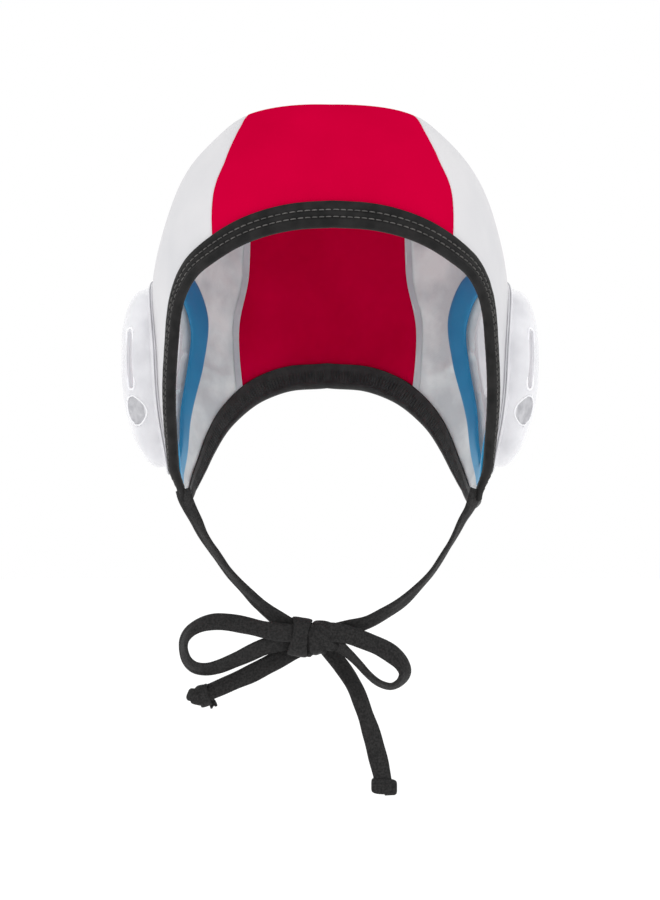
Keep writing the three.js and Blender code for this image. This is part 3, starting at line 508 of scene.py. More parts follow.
surface(
    "black_tape", (29, 29, 29), (49, 48, 48), 1100, (0.5, 0.66), weave=(0.5, 0.45, 0.1), grain=(0.8, 0.16),
    specular_ior_level=0.12, sheen_weight=0.03, sheen_roughness=0.45,
)
# Painted light: the ring's lighter low colour towards the cap's lower edge stands for more light reaching it
# there
surface(
    "blue_ring", (32, 128, 180), (42, 140, 190), 40, (0.34, 0.46), grain=(3, 0.08), low=(24, 156, 208),
    specular_ior_level=0.4,
)
# Painted light: the glow stands for light scattered inside the frosted plastic
surface(
    "clear_guard", (222, 222, 226), (198, 198, 203), 75, (0.16, 0.3), grain=(6, 0.35), glow=0.18,
    alpha=(0.6, 0.85), ior=1.45, coat_weight=0.3, coat_roughness=0.12,
)
# Painted light and painted highlight: the rims' glow stands for light scattered in the plastic, and their
# whiter colour for the highlight along the raised rims
surface(
    "guard_rim", (248, 248, 250), (238, 238, 242), 60, (0.16, 0.26), grain=(3, 0.1), glow=0.12,
    alpha=(0.85, 0.95), ior=1.45, coat_weight=0.3, coat_roughness=0.1,
)
# Painted light: the small glow stands for light scattered in the frosted plastic
surface(
    "guard_flat", (190, 190, 194), (164, 164, 169), 260, (0.4, 0.6), grain=(0.7, 0.35), glow=0.05, ior=1.45,
)
# Painted shade: a dark grey for the thin tube along the guard's brim, which stands for the shadow line at the
# flange's edge
surface(
    "guard_shadow_line", (150, 150, 155), (176, 176, 181), 60, (0.2, 0.3), grain=(3, 0.1), ior=1.45,
)


# Curves

def unit(vectors):
    return vectors / np.maximum(1e-12, np.linalg.norm(vectors, axis=-1, keepdims=True))


def eased(t):
    """A smooth way from 0 to 1."""
    return t * t * (3 - 2 * t)


def peak(distance, width):
    """A smooth peak of 1 at no distance."""
    return np.exp(-((distance / width) ** 2))


def arch(share):
    """An arch of 1 in the middle between shares 0 and 1, and nothing beside them."""
    return np.sin(math.pi * np.clip(share, 0, 1))


def full_turn(count):
    return 2 * math.pi * np.arange(count) / count


def flattened(wave, power):
    return np.sign(wave) * np.abs(wave) ** power


def flat_section(count, width, wall, powers):
    """Places across and through a flat section with rounded edges."""
    turn = full_turn(count)
    return width / 2 * flattened(np.cos(turn), powers[0]), wall / 2 * flattened(np.sin(turn), powers[1])


def travelled(line):
    """The distance gone along a line at each of its points."""
    return np.concatenate([[0], np.cumsum(np.linalg.norm(np.diff(line, axis=0), axis=1))])


def ripple(u, v, height, size, seed):
    """A soft unevenness of a height over a surface, with folds of the given size."""
    total = np.zeros(np.broadcast(u, v).shape)
    for k in range(5):
        angle = 2.4 * k + seed
        wave = 2 * math.pi / (size * (0.7 + 0.35 * k))
        total += np.sin((u * math.cos(angle) + v * math.sin(angle)) * wave + 1.7 * k * seed)
    return height * (total / 3.2)


# The cap's form

DOWNS = np.linspace(0, CAP_SECTIONS[-1, 0] * CAP_DEPTH, 4000)


def squared_sections(column):
    """The squares of a column of the sections at DOWNS, on a cubic through the rows."""
    keys = CAP_SECTIONS[:, 0]
    values = CAP_SECTIONS[:, column] ** 2
    last = len(keys) - 1
    before = np.maximum(np.arange(last + 1) - 1, 0)
    after = np.minimum(np.arange(last + 1) + 1, last)
    slopes = (values[after] - values[before]) / (keys[after] - keys[before])
    shares = DOWNS / CAP_DEPTH
    i = np.clip(np.searchsorted(keys, shares) - 1, 0, last - 1)
    span = keys[i + 1] - keys[i]
    t = (shares - keys[i]) / span
    rise = eased(t)
    start = slopes[i] * span * t * (1 - t) ** 2
    end = slopes[i + 1] * span * t * t * (t - 1)
    return values[i] * (1 - rise) + values[i + 1] * rise + start + end


WIDE, FORE, BACK = (squared_sections(column) for column in (1, 2, 3))


def plan(y, down):
    """Half width, reach and squareness of the plan outline at a level."""
    def share(table):
        return np.sqrt(np.maximum(1e-9, np.interp(down, DOWNS, table)))

    aside = (y - EAR_BACK) * 2 / EAR_SWELL_LENGTH
    level = (down - EAR_SWELL_DROP) * 2 / EAR_SWELL_HEIGHT
    width = CAP_HALF_WIDTH * share(WIDE) + EAR_SWELL * np.exp(-(aside**4) - level**4)
    ahead = y < 0
    reach = np.where(ahead, CAP_FRONT_REACH * share(FORE), CAP_BACK_REACH * share(BACK))
    return width, reach, np.where(ahead, FRONT_SQUARENESS, BACK_SQUARENESS)


def outsideness(points):
    """Negative inside the cap's outer form and positive outside."""
    x, y, z = np.moveaxis(points, -1, 0)
    down = CROWN_TOP - z
    width, reach, power = plan(y, down)
    value = np.abs(x / width) ** power + np.abs(y / reach) ** power - 1
    return np.where(down <= 0, 1.0, value)


def seat(points):
    """The points of the outer form on the rays from the core through given points."""
    rays = unit(np.asarray(points, float) - CORE)
    low = np.ones(rays.shape[:-1])
    high = np.full(rays.shape[:-1], 200.0)
    for _ in range(26):
        reach = (low + high) / 2
        inside = outsideness(rays * reach[..., None] + CORE) < 0
        low = np.where(inside, reach, low)
        high = np.where(inside, high, reach)
    return rays * low[..., None] + CORE


def normals(points, step=0.02):
    slopes = []
    for axis in np.eye(3) * step:
        slopes.append(outsideness(points + axis) - outsideness(points - axis))
    return unit(np.stack(slopes, -1))


def lifted(points, lift):
    """Points lifted off the outer form; a negative lift goes into the cloth and through it."""
    base = seat(points)
    return base + normals(base) * np.broadcast_to(lift, base.shape[:-1])[..., None]


def side_point(y, z):
    """Points of the outer form on the right at places given from the side."""
    width, reach, power = plan(y, CROWN_TOP - z)
    x = width * np.maximum(1e-9, 1 - np.abs(y / reach) ** power) ** (1 / power)
    return np.stack(np.broadcast_arrays(x, y, z), -1)


def spline(points, t, closed=False):
    """A smooth centripetal curve through points, at shares t of its rows."""
    points = np.asarray(points, float)
    t = np.asarray(t, float)
    count = len(points)
    if closed:
        row = np.floor(t * count).astype(int)
        part = t * count - row
        p0, p1, p2, p3 = (points[(row + k) % count] for k in (-1, 0, 1, 2))
    else:
        padded = np.vstack([2 * points[0] - points[1], points, 2 * points[-1] - points[-2]])
        row = np.clip(np.floor(t * (count - 1)).astype(int), 0, count - 2)
        part = t * (count - 1) - row
        p0, p1, p2, p3 = (padded[row + k] for k in (0, 1, 2, 3))
    d0, d1, d2 = (
        np.maximum(1e-6, np.linalg.norm(b - a, axis=-1, keepdims=True)) ** 0.5
        for a, b in ((p0, p1), (p1, p2), (p2, p3))
    )
    start = ((p1 - p0) / d0 - (p2 - p0) / (d0 + d1) + (p2 - p1) / d1) * d1
    end = ((p2 - p1) / d1 - (p3 - p1) / (d1 + d2) + (p3 - p2) / d2) * d1
    w = part[..., None]
    return (
        p1 + start * w + (3 * (p2 - p1) - 2 * start - end) * w**2 + (2 * (p1 - p2) + start + end) * w**3
    )


def evenly(points, shares, closed=False):
    """The curve's own parameter at shares of its length."""
    t = np.linspace(0, 1, 2001)
    gone = travelled(spline(points, np.minimum(t, 1 - 1e-9), closed))
    return np.interp(np.asarray(shares) * gone[-1], gone, t)


def table_points(rows, reach):
    """The points of an edge table, seated on the outer form."""
    rows = np.array(rows)
    return seat(np.stack([
        CAP_HALF_WIDTH * rows[:, 0], reach * rows[:, 1], CROWN_TOP - CAP_DEPTH * rows[:, 2],
    ], -1))


FACE_POINTS = table_points(FACE_EDGE, -CAP_FRONT_REACH)
NAPE_POINTS = table_points(NAPE_EDGE, CAP_BACK_REACH)
SEAM_POINTS = table_points(SEAM_LINE, -(CAP_FRONT_REACH + CAP_BACK_REACH) / 2)


def stations(points, shares, turn):
    """Places on an edge and the ways from them into the cloth."""
    shares = np.asarray(shares, float)
    place = seat(spline(points, evenly(points, shares)))
    nearby = [spline(points, evenly(points, np.clip(shares + d, 0, 1))) for d in (-1e-3, 1e-3)]
    along = unit(nearby[1] - nearby[0])
    along[shares == 0] = (1, 0, 0)
    return place, unit(np.cross(normals(place), along) * turn)


def inset(place, inward, distance):
    return seat(place + inward * distance)


def crossing(points, target):
    """The share of an edge at which the seam meets it."""
    shares = np.linspace(0, 1, 401)
    line = spline(points, evenly(points, shares))
    return shares[np.argmin(np.linalg.norm(line - target, axis=1))]


# The way into the cloth, and the part's steps over the centre and side panels, at each edge
FACE_TURN = 1
NAPE_TURN = -1
FACE_STEPS = (5, 16)
NAPE_STEPS = (5, 12)
FACE_SEAM_AT = crossing(FACE_POINTS, SEAM_POINTS[0])
NAPE_SEAM_AT = crossing(NAPE_POINTS, SEAM_POINTS[-1])


def cloth_edge(points, turn, start, end, count):
    """The cloth's own edge inside a binding, between two shares."""
    return inset(*stations(points, np.linspace(start, end, count), turn), CLOTH_INSET)


FACE_CENTRE_ROW = cloth_edge(FACE_POINTS, FACE_TURN, 0, FACE_SEAM_AT, FACE_STEPS[0] + 1)
NAPE_CENTRE_ROW = cloth_edge(NAPE_POINTS, NAPE_TURN, 0, NAPE_SEAM_AT, NAPE_STEPS[0] + 1)
SEAM_CURVE = np.vstack([FACE_CENTRE_ROW[-1], SEAM_POINTS[1:-1], NAPE_CENTRE_ROW[-1]])


# Meshes

def mesh_piece(
    name, bodies, look, stands_for=(), inner_look=None, inside=None, unroll=None, mirror=False,
):
    """A piece from closed bodies, each of them rings of points and whether the row of rings closes. Faces
    from the place inside in a ring take the inner look."""
    points, faces, uvs, which = [], [], [], []
    offset = 0
    for rings, loop in bodies:
        rings = np.array(rings, float)
        if mirror:
            rings[..., 0] *= -1
        count, width = rings.shape[:2]
        rows = count if loop else count - 1
        i, j = np.mgrid[:rows, :width]
        n, k = (i + 1) % count, (j + 1) % width
        quads = np.stack([i * width + j, n * width + j, n * width + k, i * width + k], -1).reshape(-1, 4)
        if unroll:
            corners = unroll(rings.reshape(-1, 3))[quads]
        else:
            steps = [np.linalg.norm(np.roll(rings, -1, m) - rings, axis=-1).mean(1 - m) for m in (0, 1)]
            u, v = (np.concatenate([[0], np.cumsum(step)]) for step in steps)
            corners = np.stack([
                np.stack([u[m], v[s]], -1) for m, s in ((i, j), (i + 1, j), (i + 1, j + 1), (i, j + 1))
            ], -2).reshape(-1, 4, 2)
        side = np.where((j >= inside) & (j < width - 1), 1, 0) if inside else np.zeros_like(j)
        if not loop:
            cap = np.arange(width // 2 - 1)
            far = width - 1 - cap
            last = (count - 1) * width
            ends = np.vstack([
                np.stack([cap, cap + 1, far - 1, far], -1),
                last + np.stack([cap, far, far - 1, cap + 1], -1),
            ])
            quads = np.vstack([quads, ends])
            corners = np.concatenate([corners, np.zeros((len(ends), 4, 2))])
            side = np.concatenate([side.ravel(), np.zeros(len(ends), int)])
        flat = rings.reshape(-1, 3)
        a, b, c, d = (flat[quads[:, m]] for m in range(4))
        volume = (np.cross(a, b) * c).sum() + (np.cross(a, c) * d).sum()
        if volume < 0:
            quads, corners = quads[:, ::-1], corners[:, ::-1]
        points.append(flat)
        faces.append(quads + offset)
        uvs.append(corners)
        which.append(side.ravel())
        offset += len(flat)

    mesh = bpy.data.meshes.new(name)
    mesh.from_pydata((np.vstack(points) * MM).tolist(), [], np.vstack(faces).tolist())
    layer = mesh.uv_layers.new(name="cloth")
    layer.data.foreach_set("uv", (np.concatenate(uvs) * MM).astype(np.float32).ravel())
    mesh.polygons.foreach_set("material_index", np.concatenate(which).astype(np.int32))
    for title in (look, inner_look):
        if title:
            mesh.materials.append(LOOKS[title])
    return placed(name, mesh, stands_for)


def placed(name, mesh, stands_for):
    """A finished piece of the one body."""
    mesh.shade_smooth()
    mesh.set_sharp_from_angle(angle=math.radians(SHARP_ANGLE))
    made = added(name, mesh)
    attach(made, "root")
    if stands_for:
        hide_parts(*stands_for)
    return made


def tube(line, radius, sides=8, loop=False):
    """Rings round a line; radius is one number or one for each point."""
    line = np.asarray(line, float)
    if loop:
        along = unit(np.roll(line, -1, 0) - np.roll(line, 1, 0))
    else:
        along = unit(np.gradient(line, axis=0))
    across = unit(np.cross(along, (0.31, 0.54, 0.78)))
    upward = np.cross(along, across)
    turn = full_turn(sides)
    spokes = across[:, None] * np.cos(turn)[:, None] + upward[:, None] * np.sin(turn)[:, None]
    return line[:, None] + spokes * np.broadcast_to(radius, len(line))[:, None, None]


def hoop(line, radius):
    return tube(line, radius, loop=True), True


def stitch(start, end, normal):
    """A thread that comes up out of the cloth, lies on it and goes back in."""
    share = np.array([0, 0.1, 0.3, 0.7, 0.9, 1])[:, None]
    rise = np.array([-0.25, 0.05, 0.18, 0.18, 0.05, -0.25])[:, None]
    line = start + (end - start) * share + normal * rise
    return tube(line, STITCH_RADIUS * np.array([0.6, 0.9, 1, 1, 0.9, 0.6]), 6), False


# Cloth panels

def seam_point(shares, aside):
    """Points along the seam, moved aside."""
    points = spline(SEAM_CURVE, shares)
    points[..., 0] += aside
    return seat(points)


def centre_panel():
    """A patch between the seams and the two edges, mirrored about the middle line."""
    half = np.concatenate([np.linspace(0, 0.94, 30), [0.955, 0.967, 0.977, 0.985, 0.992, 0.997, 1]])
    across = np.concatenate([-half[:0:-1], half])
    along = np.linspace(0, 1, 170)
    front, rear = FACE_CENTRE_ROW[0], NAPE_CENTRE_ROW[0]
    start = math.atan2(front[2] - CORE[2], front[1])
    end = math.atan2(rear[2] - CORE[2], rear[1])
    angle = start + (end - start) * along
    middle = seat(np.stack([np.zeros_like(angle), np.cos(angle), np.sin(angle)], -1) + CORE)
    seam = seam_point(along, -SEAM_GAP / 2)
    a = np.abs(across)[None, :, None]
    t = along[:, None, None]
    patch = middle[:, None] * (1 - a) + seam[:, None] * a
    for row, near in ((FACE_CENTRE_ROW, 1 - t), (NAPE_CENTRE_ROW, t)):
        wanted = spline(row, np.abs(across))
        straight = row[0] * (1 - a[0]) + row[-1] * a[0]
        patch = patch + (wanted - straight)[None] * near
    patch[..., 0] *= np.sign(across)

    out = (1 - np.abs(across))[None, :] * CENTRE_PANEL_HALF
    dip = -SEAM_DIP * peak(out, SEAM_DIP_WIDTH)
    u, v = patch[..., 0], along[:, None] * CENTRE_PANEL_LENGTH
    pucker = ripple(u * 0.4, v, *PUCKERS, 1.3) * np.exp(-out / 5)
    slack = ripple(u, v, *CENTRE_SLACK, 2.1)
    hem = np.exp(-(CENTRE_PANEL_LENGTH - v) / 26) + np.exp(-v / 20)
    gather = HEM_GATHER * np.sin(u * 0.9 + np.sin(u * 0.13) * 4) * hem
    relief = dip + pucker + slack + gather
    outer = lifted(patch, relief)
    inner = lifted(patch, relief * 0.8 - CLOTH_WALL)
    rings = np.concatenate([outer, inner[:, ::-1]], 1)
    return mesh_piece(
        "centre_panel_cloth", [(rings, False)], "red_cloth", ["centre_panel"], "red_cloth_inside",
        len(across),
    )


EAR_SHARES = np.linspace(0, 1, 1441)
EAR_ROWS = [(back, up, 0) for back, up in EAR_OUTLINE]
EAR_LINE = spline(EAR_ROWS, np.minimum(evenly(EAR_ROWS, EAR_SHARES, True), 1 - 1e-9), True)
EAR_MIDDLE = CROWN_TOP - EAR_DROP
EAR_BEARINGS = np.unwrap(np.arctan2(
    EAR_LINE[:, 1] * EAR_HOLE_HEIGHT, EAR_LINE[:, 0] * EAR_HOLE_LENGTH,
))


def ear_point(share, margin, scale=1.0):
    """A point on the ear outline grown by a margin and then scaled about its middle."""
    share = np.asarray(share, float) % 1
    back = np.interp(share, EAR_SHARES, EAR_LINE[:, 0]) * (EAR_HOLE_LENGTH / 2 + margin) * scale
    up = np.interp(share, EAR_SHARES, EAR_LINE[:, 1]) * (EAR_HOLE_HEIGHT / 2 + margin) * scale
    return side_point(EAR_BACK + back, EAR_MIDDLE + up)


def ear_share_towards(points):
    """The shares of the ear outline that lie in the same directions from the ear as given points."""
    wanted = np.arctan2(points[..., 2] - EAR_MIDDLE, points[..., 1] - EAR_BACK)
    low = EAR_BEARINGS.min()
    wanted = (wanted - low) % (2 * math.pi) + low
    order = np.argsort(EAR_BEARINGS)
    return np.interp(wanted, EAR_BEARINGS[order], EAR_SHARES[order])


def side_unroll(points):
    """A side panel laid flat: back and forth across, and down its height and over its top."""
    return np.stack([points[:, 1], points[:, 2] - np.abs(points[:, 0])], -1)


def side_panel(name, mirror):
    """A ring of cloth between the panel's four edges and the ear hole."""
    seam = seam_point(np.linspace(0, 1, 150), SEAM_GAP / 2)
    face = cloth_edge(FACE_POINTS, FACE_TURN, FACE_SEAM_AT, 1, 110)
    nape = cloth_edge(NAPE_POINTS, NAPE_TURN, NAPE_SEAM_AT, 1, 90)
    loop = np.vstack([seam, nape[1:-1], (face[-1] + nape[-1])[None] / 2, face[-2:0:-1]])
    hole = ear_point(ear_share_towards(loop), 0)
    shares = np.concatenate([
        [0, 0.004, 0.01, 0.018, 0.03, 0.045, 0.065], np.linspace(0.09, 0.97, 26), [0.99, 1],
    ])
    line = seat(loop[:, None] * (1 - shares[:, None]) + hole[:, None] * shares[:, None])

    away = np.linalg.norm(loop - hole, axis=1)[:, None] * shares
    along_seam = (np.arange(len(loop)) < len(seam))[:, None]
    dip = np.where(along_seam, -SEAM_DIP * peak(away, SEAM_DIP_WIDTH), 0)
    u, v = side_unroll(line.reshape(-1, 3)).T.reshape(2, *line.shape[:2])
    pucker = ripple(u, v * 0.6, *PUCKERS, 2.9) * np.exp(-away / 6) * along_seam
    slack = ripple(u, v, *SIDE_SLACK, 0.7 if mirror else 3.1)
    outer = lifted(line, dip + pucker + slack)
    crease = sum(
        deep * peak(line[..., 2] + drop + height * np.sin(u / length + start), wide)
        for drop, height, length, start, deep, wide in CREASES
    )
    crease = crease * (1 - peak(away, 7) * along_seam)
    folds = ripple(u, v, *SIDE_FOLDS, 1.9 if mirror else 0.4)
    inner = lifted(line, dip + 0.8 * slack - CLOTH_WALL - crease + np.minimum(0, folds))
    rings = drawn_in(np.concatenate([outer, inner[:, ::-1]], 1))
    return mesh_piece(
        name + "_cloth", [(rings, True)], "white_cloth", [name], "white_cloth_inside", len(shares),
        unroll=side_unroll, mirror=mirror,
    )


def seam_tape(name, mirror):
    """The seam allowance inside, a narrow strip that lies on the side panel and covers the seam."""
    shares = np.linspace(0.02, 0.985, 170)
    place = seam_point(shares, 0)
    along = unit(np.gradient(place, axis=0))
    aside = unit(np.cross(normals(place), along))
    aside *= np.sign(aside[:, :1])
    wander = 0.25 * np.sin(shares * 60)[:, None] * (SEAM_TAPE_ACROSS > 1)
    points = place[:, None] + aside[:, None] * (SEAM_TAPE_ACROSS + wander)[..., None]
    rings = lifted(points, -CLOTH_WALL - SEAM_TAPE_DEPTH)
    return mesh_piece(name, [(rings, False)], "seam_tape", mirror=mirror)


# Bindings

def band_line(points, turn, shares, seam_at, steps, widths, narrowing):
    """Stations of a whole band, the ways into the cloth, the distance gone at each, and the widths there."""
    flip = np.array([-1, 1, 1])
    place, inward = (np.vstack([(half * flip)[:0:-1], half]) for half in stations(points, shares, turn))
    aside = np.interp(shares, [0, seam_at, 1], [0, steps[0] / sum(steps), 1])
    start, stop = narrowing
    half = widths[0] + (widths[1] - widths[0]) * eased(np.clip((aside - start) / (stop - start), 0, 1))
    return place, inward, travelled(place), np.concatenate([half[:0:-1], half])


def drawn_in(points):
    """Points of the cloth and bindings with the lower corners drawn in towards the ties."""
    depth = np.clip((-CORNER_DRAW_FROM - points[..., 2]) / CORNER_DRAW_SPAN, 0, 1)
    beside = np.clip((np.abs(points[..., 0]) - CORNER_DRAW_BESIDE) / CORNER_DRAW_WIDTH, 0, 1)
    shift = CORNER_DRAW * beside * eased(depth)
    return points - np.stack([np.sign(points[..., 0]) * shift, 0 * shift, 0 * shift], -1)


def binding_rings(place, inward, width, relief):
    """Rings of a folded band; width is one number a station, and relief gives a height of its leaves."""
    distance = LEAF_STOPS * width[:, None]
    height = relief(distance, width[:, None])
    height[:, 0] -= 0.3
    fold = np.broadcast_to(FOLD_STOPS, (len(width), len(FOLD_STOPS)))
    depth = LEAF_OUT + (LEAF_IN - LEAF_OUT) * FOLD_LEVELS + np.zeros_like(fold)
    outside = np.concatenate([distance, fold, distance[:, ::-1]], 1)
    outside_lift = np.concatenate([LEAF_OUT + height, depth, LEAF_IN - 0.8 * height[:, ::-1]], 1)
    inside = np.maximum(outside[:, ::-1], BINDING_LEAF)
    slot = LEAF_IN + BINDING_LEAF + (BINDING_SLACK - LEAF_IN - BINDING_LEAF) * FOLD_LEVELS
    inside_lift = np.concatenate([
        np.full_like(distance, LEAF_IN + BINDING_LEAF),
        slot + np.zeros_like(fold),
        np.full_like(distance, BINDING_SLACK),
    ], 1)
    reach = np.concatenate([outside, inside], 1)
    lift = np.concatenate([outside_lift, inside_lift], 1)
    return drawn_in(lifted(place[:, None] + inward[:, None] * reach[..., None], lift))


def face_binding():
    """The band round the face, plump between its rows of stitches, and the stitches on both of its leaves."""
    place, inward, gone, full = band_line(
        FACE_POINTS, FACE_TURN, np.linspace(0, 1, 180), FACE_SEAM_AT, FACE_STEPS, FACE_BINDING_WIDTHS,
        FACE_NARROWING,
    )

    def relief(distance, width):
        first, second = (line * width for line in STITCH_LINES)
        sunk = sum(FURROW_DEPTH * peak(distance - line, FURROW_WIDTH) for line in (first, second))
        marks = (0 * width, first, second, width)
        plump = sum(
            height * arch((distance - low) / (high - low))
            for height, low, high in zip(FACE_PLUMPNESS, marks, marks[1:])
        )
        pull = 0.1 * np.cos(gone * 2 * math.pi / STITCH_PITCH)[:, None]
        return plump * (1 + pull) - sunk + ripple(gone[:, None], distance, 0.06, 6, 0.9)

    rings = binding_rings(place, inward, full, relief)
    mesh_piece("face_binding_band", [(rings, False)], "black_binding", ["face_binding"])

    def along(at, row):
        return np.stack([np.interp(at, gone, column) for column in row.T], -1)

    threads = []
    starts = (np.arange(int(gone[-1] / STITCH_PITCH) - 1) + 0.6) * STITCH_PITCH
    for line in STITCH_LINES:
        for lift in (LEAF_OUT, LEAF_IN):
            ends = []
            for at in (starts, starts + STITCH_LENGTH):
                reach = line * along(at, full[:, None])
                points = along(at, place) + along(at, inward) * reach
                ends.append(drawn_in(lifted(points, lift)))
            outward = normals(seat(ends[0])) * np.sign(lift)
            threads += [stitch(*row) for row in zip(*ends, outward)]
    mesh_piece("face_binding_stitches", threads, "binding_thread")


def nape_binding():
    """The ribbed band at the nape, with a border line on each side of its ribs."""
    place, inward, gone, full = band_line(
        NAPE_POINTS, NAPE_TURN, np.linspace(0, NAPE_BAND_END, 430), NAPE_SEAM_AT, NAPE_STEPS,
        NAPE_BINDING_WIDTHS, NAPE_NARROWING,
    )

    def relief(distance, width):
        share = distance / width
        low, high = RIB_BAND
        ribbed = 1 / (1 + np.exp(-(share - low) * 60)) / (1 + np.exp((share - high) * 60))
        ribs = RIB_HEIGHT * np.sin(gone * 2 * math.pi / RIB_PITCH)[:, None]
        border = BORDER_DEPTH * (peak(share - low, BORDER_WIDTH) + peak(share - high, BORDER_WIDTH))
        plump = NAPE_PLUMPNESS * arch(share / low)
        return ribs * ribbed - border + plump + ripple(gone[:, None], distance, 0.05, 9, 2.2)

    rings = binding_rings(place, inward, full, relief)
    mesh_piece("nape_binding_band", [(rings, False)], "black_elastic", ["nape_binding"])


# Ear pieces

def ear_ring(name, mirror):
    """A soft ring round the ear hole, inside the cloth."""
    across, through = flat_section(22, RING_WIDTH, RING_WALL, (0.6, 0.7))
    shares = np.arange(260) / 260
    wander = 0.12 * np.sin(shares * 2 * math.pi * 9)[:, None]
    points = np.stack([ear_point(shares, RING_MARGIN + RING_WIDTH / 2 + aside) for aside in across], 1)
    rings = lifted(points, RING_FACE - RING_WALL / 2 + through + wander)
    mesh_piece(name + "_band", [(rings, True)], "blue_ring", [name], mirror=mirror)


DOME_SHARE = 1 - GUARD_FLANGE / (EAR_HOLE_LENGTH / 2 + GUARD_OVERLAP)
WALL_SHARE = 1 - GUARD_WALL / (EAR_HOLE_LENGTH / 2 + GUARD_OVERLAP)


def guard_rise(share):
    """Height of the guard over its flange, at a share of the way from the middle to the flange."""
    return GUARD_RISE * (1 - np.minimum(1, share) ** GUARD_SQUARENESS) ** (1 / GUARD_SQUARENESS)


def guard_point(back, up):
    """A point on the guard's outer face, given from the middle of the ear."""
    target = side_point(np.array(EAR_BACK + back), np.array(EAR_MIDDLE + up))
    rim = ear_point(ear_share_towards(target), GUARD_OVERLAP)
    reach = math.hypot(rim[1] - EAR_BACK, rim[2] - EAR_MIDDLE)
    rise = guard_rise(math.hypot(back, up) / reach / DOME_SHARE)
    return lifted(target, GUARD_LIFT + GUARD_WALL + rise)


def guard_rings():
    """The guard's flange, its domed outer face, and its inner face back to the flange."""
    shares = np.arange(180) / 180
    rows = np.sin(np.linspace(0, 1, 46) * math.pi / 2)
    top = GUARD_LIFT + GUARD_WALL
    profile = [
        (GUARD_OVERLAP - 0.3, 1, GUARD_LIFT),
        (GUARD_OVERLAP, 1, GUARD_LIFT + 0.4),
        (GUARD_OVERLAP, 1, top - 0.5),
        (GUARD_OVERLAP - 0.2, 1, top - 0.15),
        (GUARD_OVERLAP - 0.7, 1, top),
    ]
    profile += [(GUARD_OVERLAP, DOME_SHARE * r, top + guard_rise(r)) for r in rows[::-1]]
    profile += [(GUARD_OVERLAP, DOME_SHARE * WALL_SHARE * r, GUARD_LIFT + guard_rise(r)) for r in rows]
    points = np.stack([ear_point(shares, margin, scale) for margin, scale, _ in profile], 1)
    rings = lifted(points, [lift for _, _, lift in profile])
    for centre, outward in dimple_axes():
        height, radius = from_axis(rings, centre, outward)
        sunk = np.maximum(0, height + GUARD_DIMPLE_DEPTH) * (radius < GUARD_DIMPLE_RADIUS)
        rings = rings - sunk[..., None] * outward * (height > -GUARD_WALL / 2)[..., None]
    return rings


def dimple_axes():
    """Middles and outward directions of the round flats on the guard's lower flanks."""
    axes = []
    up = -GUARD_DIMPLE_DROP
    for back in (-GUARD_DIMPLE_SPACING, GUARD_DIMPLE_SPACING):
        across = guard_point(back + 1, up) - guard_point(back - 1, up)
        along = guard_point(back, up + 1) - guard_point(back, up - 1)
        axes.append((guard_point(back, up), unit(np.cross(across, along))))
    return axes


def from_axis(points, centre, outward):
    """Heights over a centre along its axis, and distances from the axis."""
    away = points - centre
    height = away @ outward
    return height, np.linalg.norm(away - height[..., None] * outward, axis=-1)


def slot_outline(place, grow, count=64):
    """Points round a slot and the way it is cut."""
    half = GUARD_SLOT_WIDTH / 2 + grow
    straight = GUARD_SLOT_LENGTH / 2 - GUARD_SLOT_WIDTH / 2
    turn = 2 * math.pi * (np.arange(count) + 0.5) / count
    outward = unit(np.array([1, GUARD_SLOT_SPLAY * place, 0]))
    lean = math.radians(GUARD_SLOT_LEAN * place)
    upward = np.array([0, 0, math.cos(lean)]) + np.cross(outward, [0, 0, 1]) * math.sin(lean)
    sideways = np.cross(upward, outward)
    middle = guard_point(place * GUARD_SLOT_SPACING, GUARD_SLOT_UP)
    high = np.sin(turn) * half + np.sign(np.sin(turn)) * straight
    ring = middle + sideways * (np.cos(turn) * half)[:, None] + upward * high[:, None]
    return ring, outward


